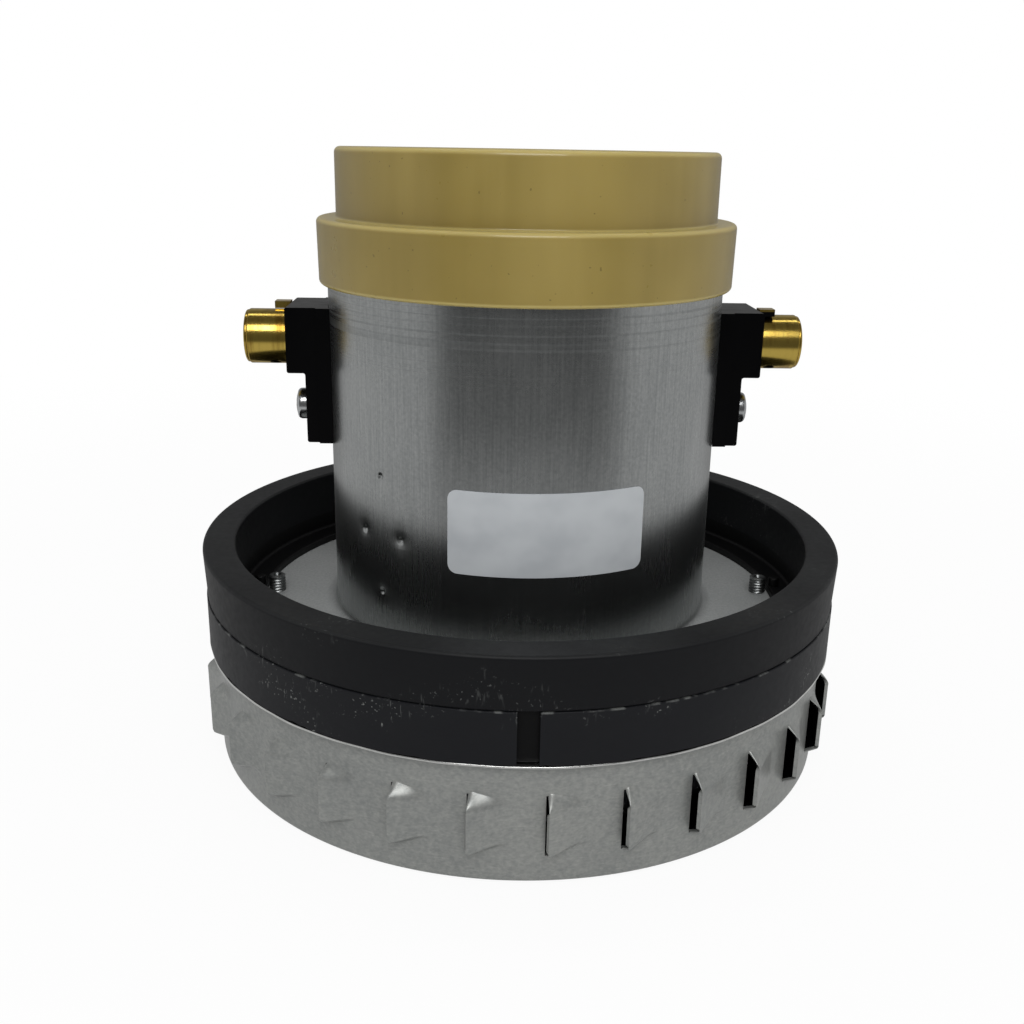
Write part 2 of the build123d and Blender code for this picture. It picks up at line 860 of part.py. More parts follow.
def lower_nut():
    """Nut below the impeller."""
    low = impeller_disc_low - lower_washer_thickness - lower_nut_height
    return hexagon_nut(lower_nut_flats, lower_nut_height, lower_stud_radius, low)


def cooling_fan():
    """Moulded fan: hub, back disc and blades that trail its turning."""
    hub = ring(fan_hub_radius, journal_radius, fan_disc_low, fan_hub_top)
    sleeve = ring(fan_sleeve_radius, journal_radius, upper_bearing_top, fan_disc_low)
    disc = ring(fan_radius, journal_radius, fan_disc_low, fan_disc_top)
    blade_end = fan_radius - fan_blade_sheet
    plan = curved_vane(
        fan_blade_root, blade_end, fan_blade_sweep_angle, fan_blade_bow, fan_blade_sheet
    )
    blade_foot = (fan_disc_low + fan_disc_top) / 2
    blade = Pos(0, 0, blade_foot) * extrude(plan, fan_blade_top - blade_foot)
    return disc + hub + sleeve + [place * blade for place in around(fan_blade_count)]


def upper_washer():
    """Plain washer on the cooling fan's hub."""
    top = fan_hub_top + upper_washer_thickness
    return ring(upper_washer_radius, upper_stud_radius, fan_hub_top, top)


def upper_nut():
    """Nut above the cooling fan."""
    low = fan_hub_top + upper_washer_thickness
    return hexagon_nut(upper_nut_flats, upper_nut_height, upper_stud_radius, low)


def brush_holder():
    """Black moulding on the can: block, leg, boss through the can and lug."""
    inside = can_radius - overrun
    body = block(
        (inside, -holder_width / 2, holder_foot),
        (holder_leg_face, holder_width / 2, holder_top),
    )
    body = body + block(
        (inside, -holder_width / 2, holder_block_foot),
        (holder_block_face, holder_width / 2, holder_top),
    )
    edges = body.edges().filter_by(Axis.Y).filter_by(lambda edge: edge.center().X > can_radius)
    body = fillet(edges, holder_edge)
    body = body + block(
        (inside, -holder_flange_width / 2, holder_foot),
        (holder_flange_face, holder_flange_width / 2, holder_top),
    )
    body = body - ring(can_radius + seat_gap, 0, holder_foot - overrun, holder_top + overrun)
    body = body + block(
        (holder_block_face - overrun, lug_near, lug_low),
        (holder_block_face + lug_reach, lug_far, lug_top),
    )
    body = body + rod_x(holder_boss_radius, holder_boss_end, holder_leg_face, brush_height)
    bore = tube_radius + seat_gap
    body = body - rod_x(bore, holder_boss_end - overrun, tube_end, brush_height)
    screw_hole = holder_screw_radius + seat_gap
    return body - rod_x(screw_hole, inside, holder_leg_face + overrun, holder_screw_height)


def brush_tube():
    """Round brass guide with a square-cornered bore and a small side hole."""
    outer = rod_x(tube_radius, tube_inner_end, tube_end, brush_height)
    rim = outer.edges().filter_by(GeomType.CIRCLE).sort_by(Axis.X)[-1]
    outer = fillet(rim, tube_rim)
    half_thickness = brush_thickness / 2 + brush_play
    half_depth = brush_depth / 2 + brush_play
    bore = block(
        (tube_inner_end - overrun, -half_thickness, brush_height - half_depth),
        (tube_end + overrun, half_thickness, brush_height + half_depth),
    )
    drill = Rot(tube_side_hole_angle - 180, 0, 0) * extrude(
        Circle(tube_side_hole_radius), tube_radius + overrun
    )
    return outer - bore - Pos(tube_side_hole_place, 0, brush_height) * drill


def brush_cap():
    """End cap of the brush tube: a rim over the end and a plug in the bore."""
    rim = rod_x(tube_radius - tube_rim, tube_end, tube_end + cap_rim, brush_height)
    rim = fillet(rim.edges().filter_by(GeomType.CIRCLE).sort_by(Axis.X)[-1], cap_edge)
    half_thickness = brush_thickness / 2 - brush_play
    half_depth = brush_depth / 2 - brush_play
    plug = block(
        (cap_plug_end, -half_thickness, brush_height - half_depth),
        (tube_end, half_thickness, brush_height + half_depth),
    )
    return rim + plug


def carbon_brush():
    """Carbon brush with a face hollowed to the commutator's radius."""
    body = block(
        (brush_face - overrun, -brush_thickness / 2, brush_height - brush_depth / 2),
        (brush_tail, brush_thickness / 2, brush_height + brush_depth / 2),
    )
    low = brush_height - brush_depth
    high = brush_height + brush_depth
    return body - ring(brush_face, 0, low, high)


def brush_spring():
    """Coil spring between the brush's tail and the cap's plug."""
    start = brush_tail + spring_wire_radius + seat_gap
    end = cap_plug_end - spring_wire_radius - seat_gap
    pitch = (end - start) / spring_turn_count
    coil = Helix(pitch, end - start, spring_coil_radius)
    section = Plane(origin=coil @ 0, z_dir=coil % 0) * Circle(spring_wire_radius)
    wire = sweep(section, path=coil)
    return Pos(start, 0, brush_height) * Rot(0, 90, 0) * wire


def terminal():
    """Brass angle that lies on the lug's top and down one of its sides."""
    face = holder_block_face + lug_reach
    top = block(
        (holder_block_face, lug_near, lug_top),
        (face, lug_far + terminal_sheet, lug_top + terminal_sheet),
    )
    side = block((holder_block_face, lug_far, lug_low), (face, lug_far + terminal_sheet, lug_top))
    return top + side


def holder_screw():
    """Pan-head screw through the holder's leg into the can."""
    head_end = holder_leg_face + holder_screw_head_height
    shank = rod_x(holder_screw_radius, holder_screw_end, holder_leg_face, holder_screw_height)
    head = rod_x(holder_screw_head_radius, holder_leg_face, head_end, holder_screw_height)
    rim = head.edges().filter_by(GeomType.CIRCLE).sort_by(Axis.X)[-1]
    head = fillet(rim, head_edge)
    reach = holder_screw_head_radius + overrun
    slot = block(
        (head_end - holder_screw_slot, -holder_screw_slot / 2, holder_screw_height - reach),
        (head_end + overrun, holder_screw_slot / 2, holder_screw_height + reach),
    )
    return shank + (head - slot)


def flange_screw():
    """Screw from below through the lower bracket, its end proud of the plate."""
    head_top = plate_foot - lower_bracket_sheet
    head_foot = head_top - flange_screw_head_height
    end = plate_height + flange_screw_proud
    screw = turned(
        (0, head_foot),
        (flange_screw_head_radius, head_foot, head_edge),
        (flange_screw_head_radius, head_top),
        (flange_screw_radius, head_top),
        (flange_screw_radius, end),
        (flange_screw_dimple, end),
        (0, end - flange_screw_dimple),
    )
    return Pos(flange_screw_circle, 0, 0) * screw


def group(solids):
    """Separate solids kept together in one node."""
    return Compound(children=[solid.solids()[0] for solid in solids])


def mirrored(shape, side):
    """The shape as built on the +X side, or its mirror image on the -X side."""
    return shape if side == "right" else mirror(shape, Plane.YZ)


def half_turned(shape, side):
    """The shape as built on the +X side, or turned half round for the -X side."""
    return shape if side == "right" else Rot(0, 0, 180) * shape


nodes = {
    "turbine_housing": turbine_housing(),
    "motor_can": motor_can(),
    "rubber_ring": rubber_ring(),
    "rubber_band": rubber_band(),
    "lower_bracket": lower_bracket(),
    "upper_bracket": upper_bracket(),
    "wave_washer": wave_washer(),
    "fan_cover": fan_cover(),
    "stator_core": stator_core(),
    "field_coil_rear": field_coil(),
    "field_coil_front": mirror(field_coil(), Plane.XZ),
    "flange_screws": group([place * flange_screw() for place in around(flange_screw_count)]),
    "holder_screws": group([holder_screw(), mirror(holder_screw(), Plane.YZ)]),
    "shaft": shaft(),
    "armature_core": armature_core(),
    "armature_winding": armature_winding(),
    "commutator_bars": commutator_bars(),
    "commutator_hub": commutator_hub(),
    "impeller_disc": impeller_disc(),
    "impeller_vanes": impeller_vanes(),
    "impeller_shroud": impeller_shroud(),
    "spacer_sleeve": spacer_sleeve(),
    "lower_washer": lower_washer(),
    "lower_nut": lower_nut(),
    "cooling_fan": cooling_fan(),
    "upper_washer": upper_washer(),
    "upper_nut": upper_nut(),
}

for name, foot in (("lower", lower_bearing_foot), ("upper", upper_bearing_foot)):
    nodes[name + "_bearing_outer"] = bearing_outer(foot)
    nodes[name + "_bearing_inner"] = bearing_inner(foot)
    nodes[name + "_bearing_balls"] = bearing_balls(foot)

for side in ("left", "right"):
    nodes["brush_holder_" + side] = half_turned(brush_holder(), side)
    nodes["brush_tube_" + side] = mirrored(brush_tube(), side)
    nodes["brush_cap_" + side] = mirrored(brush_cap(), side)
    nodes["carbon_brush_" + side] = mirrored(carbon_brush(), side)
    nodes["brush_spring_" + side] = mirrored(brush_spring(), side)
    nodes["terminal_" + side] = half_turned(terminal(), side)

os.makedirs("parts", exist_ok=True)
for name, shape in nodes.items():
    export_step(shape, f"parts/{name}.step")
    print(name, len(shape.solids()))
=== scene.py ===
"""Looks of the vacuum motor unit: finer surfaces, finishes, studio and camera.

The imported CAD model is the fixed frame. Sizes here are in millimetres in that
frame and become metres when a mesh is made. Angles are in degrees, measured
about the motor axis from +X.
"""

import json
import logging
import math
from dataclasses import dataclass
from enum import Enum
from typing import Any

import bpy
import numpy as np
from mathutils import Matrix


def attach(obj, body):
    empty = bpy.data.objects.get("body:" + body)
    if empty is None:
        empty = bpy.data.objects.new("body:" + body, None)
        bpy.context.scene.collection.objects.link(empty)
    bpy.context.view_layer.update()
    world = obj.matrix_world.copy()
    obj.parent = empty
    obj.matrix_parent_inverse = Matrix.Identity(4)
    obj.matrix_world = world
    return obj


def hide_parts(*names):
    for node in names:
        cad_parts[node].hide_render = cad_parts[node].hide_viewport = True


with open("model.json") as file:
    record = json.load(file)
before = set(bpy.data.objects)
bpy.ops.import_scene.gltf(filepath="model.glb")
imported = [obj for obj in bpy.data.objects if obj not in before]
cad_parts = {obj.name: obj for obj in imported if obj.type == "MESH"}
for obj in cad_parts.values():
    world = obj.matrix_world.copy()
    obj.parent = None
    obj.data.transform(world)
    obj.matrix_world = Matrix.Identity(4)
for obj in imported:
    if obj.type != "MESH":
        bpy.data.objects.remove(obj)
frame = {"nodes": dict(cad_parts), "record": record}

LOG = logging.getLogger("vacuum_motor")
MM = 0.001
WELD_STEPS = 2000  # in a millimetre; points in the same step are one point
HOLD_SHARE = 0.25  # of a rounding, between an arc's end and the point that holds the flat
Triple = tuple[float, float, float]
Colour = tuple[float, float, float, float]


def rounded_outline(corners: list[Triple], closed: bool = True, steps: int = 6) -> np.ndarray:
    """Outline with a circular arc at each corner.

    The arc touches both sides at radius / tan(half the corner's angle) from the
    corner, and its points turn evenly about the centre on the corner's bisector.
    A point just outside each arc keeps the flat sides flat under smooth shading.

    Args:
        corners: (radius, height, rounding) of each corner, in order.
        closed: True if the last corner joins the first.
        steps: spans of each arc.

    Returns:
        Points of the outline, one row each.
    """
    places = np.array([corner[:2] for corner in corners], float)
    pieces: list[np.ndarray] = []
    last = len(corners) - 1
    for index, (place, corner) in enumerate(zip(places, corners)):
        size = corner[2]
        if size <= 0 or (not closed and index in (0, last)):
            pieces.append(place[None, :])
            continue
        before = places[index - 1] - place
        after = places[(index + 1) % len(places)] - place
        before /= np.linalg.norm(before)
        after /= np.linalg.norm(after)
        angle = math.acos(float(np.clip(before @ after, -1, 1)))
        reach = size / math.tan(angle / 2)
        middle = before + after
        centre = place + middle / np.linalg.norm(middle) * size / math.sin(angle / 2)
        first = place + before * reach - centre
        second = place + after * reach - centre
        turn = math.pi - angle
        share = np.linspace(0, 1, steps + 1)[:, None]
        arc = (np.sin((1 - share) * turn) * first + np.sin(share * turn) * second) / math.sin(turn)
        hold = HOLD_SHARE * size
        pieces.append((place + before * (reach + hold))[None, :])
        pieces.append(centre + arc)
        pieces.append((place + after * (reach + hold))[None, :])
    return np.concatenate(pieces)


def around(radius: np.ndarray, turn: np.ndarray, height: np.ndarray) -> np.ndarray:
    """Points (r cos a, r sin a, z) of radii, angles in radians and heights."""
    parts = np.broadcast_arrays(radius * np.cos(turn), radius * np.sin(turn), height)
    return np.stack(parts, axis=-1)


def lathe(outline: np.ndarray, angles: np.ndarray) -> np.ndarray:
    """Surface of revolution: each (r, z) goes to (r cos a, r sin a, z) at each angle a.

    Args:
        outline: points (radius, height).
        angles: angles in degrees.

    Returns:
        Grid of points with a row for each outline point and a column for each angle.
    """
    return around(outline[:, :1], np.radians(angles)[None, :], outline[:, 1:])


def half_turn(angles: np.ndarray) -> np.ndarray:
    """The same angles between -180 and 180 degrees."""
    return (angles + 180) % 360 - 180


def full_turn(columns: int) -> np.ndarray:
    """Even angles of one turn, without the last that would repeat the first."""
    return np.arange(columns) * 360 / columns


def soft_step(value: np.ndarray, low: float, high: float) -> np.ndarray:
    """Rise from 0 at low to 1 at high along 3 t^2 - 2 t^3."""
    share = np.clip((value - low) / (high - low), 0, 1)
    return share * share * (3 - 2 * share)


def eased_ramp(share: np.ndarray, start: float, end: float) -> np.ndarray:
    """Straight rise from 0 to 1 that begins and ends in a parabola.

    Args:
        share: places from 0 to 1.
        start: share of the first parabola.
        end: share of the last parabola.

    Returns:
        The rise at each place.
    """
    left = 1 - share
    rise = share - start / 2
    rise = np.where(share < start, share**2 / (2 * start), rise)
    rise = np.where(left < end, 1 - start / 2 - end / 2 - left**2 / (2 * end), rise)
    return rise / (1 - start / 2 - end / 2)


def stand(name: str, data: bpy.types.ID) -> bpy.types.Object:
    """Puts a mesh, a lamp or a camera into the scene as an object."""
    item = bpy.data.objects.new(name, data)
    bpy.context.scene.collection.objects.link(item)
    return item


def read_all(items: Any, name: str, width: int = 1, kind: type = np.float32) -> np.ndarray:
    """One value of each of a mesh's items, a row of numbers for each item."""
    values = np.empty(len(items) * width, kind)
    items.foreach_get(name, values)
    return values.reshape(-1, width)


def wander(turn: np.ndarray, waves: tuple[Triple, ...]) -> np.ndarray:
    """Sum of share sin(count a + start) at each angle a, over (count, share, start)."""
    return sum(share * np.sin(count * turn + start) for count, share, start in waves)


class Shell:
    """Quads of one piece, gathered as grids of points in millimetres."""

    def __init__(self, *given: np.ndarray) -> None:
        """Starts empty, or with given points and faces."""
        self.points = list(given[:1])
        self.faces = list(given[1:])
        self.count = sum(map(len, self.points))

    def add(
        self,
        grid: np.ndarray,
        close_rows: bool = False,
        close_columns: bool = False,
        keep: np.ndarray | None = None,
        flip: bool = False,
    ) -> "Shell":
        """Adds a grid of points as quads whose front is columns x rows.

        Args:
            grid: points, rows by columns by 3.
            close_rows: joins the last row to the first.
            close_columns: joins the last column to the first.
            keep: True for each quad that stays, rows by columns.
            flip: turns the faces the other way.

        Returns:
            The shell itself.
        """
        rows, columns = grid.shape[:2]
        number = np.arange(rows * columns).reshape(rows, columns)
        if close_rows:
            number = np.concatenate([number, number[:1]], axis=0)
        if close_columns:
            number = np.concatenate([number, number[:, :1]], axis=1)
        quads = np.stack(
            [number[:-1, :-1], number[:-1, 1:], number[1:, 1:], number[1:, :-1]], axis=-1
        )
        quads = quads[keep] if keep is not None else quads.reshape(-1, 4)
        if flip:
            quads = quads[:, ::-1]
        self.faces.append(quads + self.count)
        self.points.append(grid.reshape(-1, 3))
        self.count += rows * columns
        return self

    def add_end(self, loop: np.ndarray, centre: np.ndarray, flip: bool = False) -> "Shell":
        """Closes a loop of points with a fan to a centre."""
        rows = np.stack([loop, np.broadcast_to(centre, loop.shape)])
        return self.add(rows, close_columns=True, flip=flip)

    def placed(self, matrix: np.ndarray) -> "Shell":
        """Copy of the shell under a 4 x 4 matrix, faces kept outward."""
        points = np.concatenate(self.points) @ matrix[:3, :3].T + matrix[:3, 3]
        faces = np.concatenate(self.faces)
        mirrored = np.linalg.det(matrix[:3, :3]) < 0
        return Shell(points, faces[:, ::-1] if mirrored else faces)

    def join(self, other: "Shell") -> "Shell":
        """Takes in another shell's faces."""
        self.points += other.points
        self.faces += [faces + self.count for faces in other.faces]
        self.count += other.count
        return self

    def four(self, radius: float) -> "Shell":
        """Four copies of the shell a quarter turn apart, each moved out by a radius."""
        copies = Shell()
        for angle in (0, 90, 180, 270):
            copies.join(self.placed(turn_z(angle) @ shift(radius)))
        return copies

    def build(self, name: str, crease: float = 40.0) -> bpy.types.Object:
        """Makes the object, with doubled points merged and thin quads made triangles.

        Args:
            name: name of the piece.
            crease: edges that fold by more than this angle stay sharp.

        Returns:
            The mesh object, at the origin.
        """
        points = np.concatenate(self.points)
        faces = np.concatenate(self.faces)
        keys = np.round(points * WELD_STEPS).astype(np.int64)
        _, first, inverse = np.unique(keys, axis=0, return_index=True, return_inverse=True)
        faces = inverse.reshape(-1)[faces]
        doubled = faces == np.roll(faces, -1, axis=1)
        quads = faces[doubled.sum(axis=1) == 0]
        thin = doubled.sum(axis=1) == 1
        triangles = faces[thin][~doubled[thin]].reshape(-1, 3)
        mesh = bpy.data.meshes.new(name)
        mesh.from_pydata((points[first] * MM).tolist(), [], quads.tolist() + triangles.tolist())
        mesh.shade_smooth()
        mesh.set_sharp_from_angle(angle=math.radians(crease))
        self.sharpen_rims(mesh)
        mesh.update()
        return stand(name, mesh)

    @staticmethod
    def sharpen_rims(mesh: bpy.types.Mesh) -> None:
        """Marks each edge of a single face sharp, so that a sheet's cut edges stay crisp."""
        used = read_all(mesh.loops, "edge_index", kind=np.int32).ravel()
        sharp = read_all(mesh.edges, "use_edge_sharp", kind=bool).ravel()
        mesh.edges.foreach_set("use_edge_sharp", sharp | (np.bincount(used) == 1))


def turned_shell(corners: list[Triple], columns: int, closed: bool = True, steps: int = 6) -> Shell:
    """Shell turned about the motor axis from the corners of its outline."""
    outline = rounded_outline(corners, closed, steps)
    return Shell().add(lathe(outline, full_turn(columns)), closed, True)


def wall(piece: bpy.types.Object, thickness: float, inner_finish: int = 0) -> None:
    """Gives an open surface its thickness, in millimetres, away from its front.

    Args:
        piece: the open surface.
        thickness: thickness of the wall.
        inner_finish: number of materials that the inner side is further on.
    """
    solid = piece.modifiers.new("wall", "SOLIDIFY")
    solid.thickness = thickness * MM
    solid.offset = -1
    solid.use_rim = True
    solid.material_offset = inner_finish


MIRROR_X = np.diag([-1.0, 1.0, 1.0, 1.0])


def shift(x: float = 0.0, z: float = 0.0) -> np.ndarray:
    """Matrix that moves by a distance in millimetres."""
    matrix = np.eye(4)
    matrix[:3, 3] = (x, 0, z)
    return matrix


def turn_z(angle: float) -> np.ndarray:
    """Matrix that turns about the motor axis."""
    c, s = math.cos(math.radians(angle)), math.sin(math.radians(angle))
    matrix = np.eye(4)
    matrix[:2, :2] = ((c, -s), (s, c))
    return matrix


def shade(red: int, green: int, blue: int) -> Colour:
    """Linear colour of a display colour given as 0 to 255."""
    values = np.array([red, green, blue]) / 255
    low = values / 12.92
    high = ((values + 0.055) / 1.055) ** 2.4
    return (*np.where(values <= 0.04045, low, high).tolist(), 1.0)


class Signal:
    """A socket's value in arithmetic; each operator adds a Math node."""

    def __init__(self, recipe: "Recipe", socket: bpy.types.NodeSocket) -> None:
        self.recipe = recipe
        self.socket = socket

    def __add__(self, other: Any) -> "Signal":
        """Sum."""
        return self.recipe.math("ADD", self, other)

    __radd__ = __add__

    def __mul__(self, other: Any) -> "Signal":
        """Product."""
        return self.recipe.math("MULTIPLY", self, other)

    __rmul__ = __mul__

    def __sub__(self, other: Any) -> "Signal":
        """Difference."""
        return self.recipe.math("SUBTRACT", self, other)

    def __rsub__(self, other: Any) -> "Signal":
        """Difference from a number on the left."""
        return self.recipe.math("SUBTRACT", other, self)

    def step(self, low: float, high: float) -> "Signal":
        """Smooth rise from 0 at low to 1 at high."""
        inputs = {"Value": self, "From Min": low, "From Max": high}
        return self.recipe.read("Result", "MapRange", inputs, interpolation_type="SMOOTHSTEP")


class Recipe:
    """Node tree of one material or of the world."""

    def __init__(self, tree: bpy.types.NodeTree) -> None:
        self.tree = tree
        tree.nodes.clear()

    def node(
        self, kind: str, inputs: dict[Any, Any] | None = None, **settings: Any
    ) -> bpy.types.Node:
        """Adds a node, sets its settings first and then its sockets.

        Args:
            kind: the node's type, after the ShaderNode that every type begins with.
            inputs: socket name or number to a value, a socket or a Signal.
            settings: properties of the node.

        Returns:
            The node.
        """
        node = self.tree.nodes.new(f"ShaderNode{kind}")
        for name, value in settings.items():
            setattr(node, name, value)
        for key, value in (inputs or {}).items():
            socket = node.inputs[key]
            source = value.socket if isinstance(value, Signal) else value
            if isinstance(source, bpy.types.NodeSocket):
                self.tree.links.new(source, socket)
            else:
                socket.default_value = source
        return node

    def read(self, output: int | str, kind: str, *inputs: Any, **settings: Any) -> Signal:
        """Adds a node and reads one of its outputs."""
        return Signal(self, self.node(kind, *inputs, **settings).outputs[output])

    def math(self, operation: str, first: Any, second: Any) -> Signal:
        """Math node on two values."""
        return self.read(0, "Math", {0: first, 1: second}, operation=operation)

    def ray(self, kind: str) -> Signal:
        """1 for one kind of ray, and 0 for the others."""
        return self.read(f"Is {kind} Ray", "LightPath")

    def place(self, space: str = "Object") -> Signal:
        """Coordinates in one space."""
        return self.read(space, "TexCoord")

    def axis(self, vector: Signal, number: int) -> Signal:
        """One number of a vector."""
        return self.read(number, "SeparateXYZ", {0: vector})

    def height(self) -> Signal:
        """Height over the foot in metres."""
        return self.axis(self.place(), 2)

    def noise(self, scale: float | Triple, detail: float = 2.0, distortion: float = 0.0) -> Signal:
        """Noise from 0 to 1; the scale counts features in a metre, for each axis or all."""
        scales = scale if isinstance(scale, tuple) else (scale,) * 3
        place = self.read(0, "Mapping", {"Vector": self.place(), "Scale": scales})
        inputs = {"Vector": place, "Scale": 1.0, "Detail": detail, "Distortion": distortion}
        return self.read(0, "TexNoise", inputs)

    def mix(self, factor: Any, first: Any, second: Any) -> Signal:
        """Blend of two colours."""
        return self.read(2, "Mix", {0: factor, 6: first, 7: second}, data_type="RGBA")

    def bump(self, height: Any, strength: float, distance: float) -> Signal:
        """Normal from a height field; the distance is in millimetres."""
        inputs = {"Height": height, "Strength": strength, "Distance": distance * MM}
        return self.read(0, "Bump", inputs)


@dataclass(frozen=True)
class Finish:
    """A finish of the object: its name, and what it sets on the main shader."""

    name: str
    slot: str

    def sockets(self, recipe: Recipe) -> dict[str, Any]:
        """Values and links of the Principled shader's sockets."""
        raise NotImplementedError

    def material(self) -> bpy.types.Material:
        """The finish's material, made once."""
        made = bpy.data.materials.get(self.name)
        if made:
            return made
        made = bpy.data.materials.new(self.name)
        made.use_nodes = True
        recipe = Recipe(made.node_tree)
        shader = recipe.node("BsdfPrincipled", self.sockets(recipe))
        recipe.node("OutputMaterial", {"Surface": shader.outputs[0]})
        return made


@dataclass(frozen=True)
class DrawnSheet(Finish):
    """Galvanised sheet with marks of drawing along one direction."""

    dark: Colour = shade(150, 153, 153)
    light: Colour = shade(190, 192, 191)
    roughness: float = 0.27
    grain: float | Triple = (2600.0, 2600.0, 60.0)
    grain_depth: float = 0.006
    # Height from which painted shadow bands darken the sheet, and their fade.
    shadow_bands_from: float = 0.0
    shadow_bands_fade: float = 0.012
    satin_to: float = 0.0
    satin_fade: float = 0.0015
    scratches: float = 0.0
    spangle: float = 1500.0
    metal: float = 1.0
    relief: float = 0.03

    def sockets(self, recipe: Recipe) -> dict[str, Any]:
        """Fine marks tint the zinc and roughen it; above a height, dark bands of painted shadow lie
        across them and roughen it.
        """
        grain = recipe.noise(self.grain, 3.0)
        cloud = recipe.noise(45.0, 3.0)
        spangle = recipe.noise(self.spangle)
        tone = (grain * 0.5 + cloud * 0.35 + spangle * 0.45 - 0.2).step(0.1, 0.85)
        rough = self.roughness + 0.02 * (grain - 0.5) + 0.06 * (cloud - 0.5)
        relief = grain + 0.3 * spangle
        # Painted shadow: horizontal bands above this height darken the tone; they also raise the
        # roughness.
        if self.shadow_bands_from:
            band = recipe.height().step(self.shadow_bands_from, self.shadow_bands_from + self.shadow_bands_fade)
            shadow_bands = recipe.noise((7.0, 7.0, 1500.0)).step(0.5, 0.72) * band
            rough = rough + 0.10 * shadow_bands
            tone = tone - 0.25 * shadow_bands
        if self.scratches:
            marks = recipe.noise((260.0, 420.0, 2400.0), 2.0, 1.2).step(0.62, 0.72)
            tone = tone + self.scratches * marks
        metal: Any = self.metal
        if self.satin_to:
            end = self.satin_to + self.satin_fade
            satin = 1 - recipe.height().step(self.satin_to, end)
            rough = rough + 0.15 * satin
            metal = self.metal - 0.55 * satin
        return {
            "Base Color": recipe.mix(tone, self.dark, self.light),
            "Metallic": metal,
            "Roughness": rough,
            "Normal": recipe.bump(relief, self.relief, self.grain_depth),
        }


@dataclass(frozen=True)
class Rubber(Finish):
    """Black rubber with specks of dust, faint scuffs and a fine moulded skin."""

    colour: Colour = shade(17, 18, 20)
    dust: Colour = shade(118, 120, 118)
    roughness: float = 0.5
    speck_share: float = 0.70
    # Height above which the top face is lighter.
    lighter_top_from: float = 0.0
    dirt: float = 1.0
    scuffed_at: float = 0.0
    # Height below which the rubber gets a painted shadow.
    painted_shadow_to: float = 0.0
    fade: float = 0.0003
    gloss: float = 0.19

    def sockets(self, recipe: Recipe) -> dict[str, Any]:
        """Dust and short scratches gather in patches and along a rubbed edge."""
        fine = recipe.noise(1500.0, 1.0)
        patch = recipe.noise((55.0, 55.0, 90.0))
        cluster = patch.step(0.54, 0.68)
        speck = fine.step(self.speck_share - 0.04, self.speck_share + 0.04) * cluster
        scuff = recipe.noise((1100.0, 1100.0, 260.0), 2.0, 0.6).step(0.62, 0.74) * cluster
        skin = recipe.noise(700.0)
        cover = self.dirt * (0.7 * speck + 0.4 * scuff + 0.02 * patch)
        # Above this height the top face is lighter, more so in patches.
        if self.lighter_top_from:
            top_lightening = recipe.height().step(self.lighter_top_from, self.lighter_top_from + self.fade)
            cover = cover + top_lightening * (0.01 + 0.07 * patch)
        if self.scuffed_at:
            edge = recipe.height().step(self.scuffed_at - 0.0004, self.scuffed_at - 0.0001)
            rubbed = recipe.noise(260.0, 3.0).step(0.52, 0.66)
            cover = cover + 0.5 * edge * rubbed
        colour = recipe.mix(cover, self.colour, self.dust)
        # Painted shadow: below this height the rubber is near-black, for the shade on the skirt
        # seen in the band's gap.
        if self.painted_shadow_to:
            painted_shadow = 1 - recipe.height().step(self.painted_shadow_to, self.painted_shadow_to + 0.0002)
            colour = recipe.mix(painted_shadow, colour, shade(2, 2, 3))
        return {
            "Base Color": colour,
            "Roughness": self.roughness + 0.15 * (skin - 0.5) + 0.15 * speck,
            "Specular IOR Level": self.gloss,
            "Normal": recipe.bump(skin, 0.18, 0.03),
        }


@dataclass(frozen=True)
class Moulding(Finish):
    """Moulded plastic with flow streaks along one direction."""

    colour: Colour = shade(130, 113, 56)
    streak: Colour = shade(150, 132, 72)
    flow: float | Triple = (70.0, 70.0, 6.0)
    roughness: float = 0.3
    specks: float = 0.0
    # Rim heights that get a painted highlight, and its colour.
    edges: tuple[float, ...] = ()
    rim_highlight_colour: Colour = shade(186, 170, 108)
    glow: float = 0.0
    coat: float = 0.0
    gloss: float = 0.5

    def sockets(self, recipe: Recipe) -> dict[str, Any]:
        """Slow streaks from the gate, dark specks, a painted highlight along the rims and a slight
        orange peel.
        """
        flow = recipe.noise(self.flow, 3.0, 0.4)
        cloud = recipe.noise(38.0)
        peel = recipe.noise(420.0)
        tone = (0.65 * flow + 0.5 * cloud - 0.08).step(0.3, 0.75)
        colour = recipe.mix(tone, self.colour, self.streak)
        if self.specks:
            speck = recipe.noise(1300.0, 0.0).step(0.82, 0.86)
            colour = recipe.mix(self.specks * speck, colour, shade(60, 44, 20))
        # Painted highlight: thin paler bands just under each rim height.
        for edge in self.edges:
            near = recipe.height().step(edge - 0.0009, edge - 0.0001)
            near = near * (1 - recipe.height().step(edge + 0.0001, edge + 0.0006))
            colour = recipe.mix(0.7 * near, colour, self.rim_highlight_colour)
        sockets = {
            "Base Color": colour,
            "Roughness": self.roughness + 0.08 * (flow - 0.5) + 0.08 * (peel - 0.5),
            "Specular IOR Level": self.gloss,
            "Normal": recipe.bump(peel, 0.12, 0.03),
        }
        if self.glow:
            sockets["Subsurface Weight"] = self.glow
            sockets["Subsurface Radius"] = (1.0, 0.75, 0.3)
            sockets["Subsurface Scale"] = 0.0025
        if self.coat:
            sockets["Coat Weight"] = self.coat
            sockets["Coat Roughness"] = 0.08
        return sockets


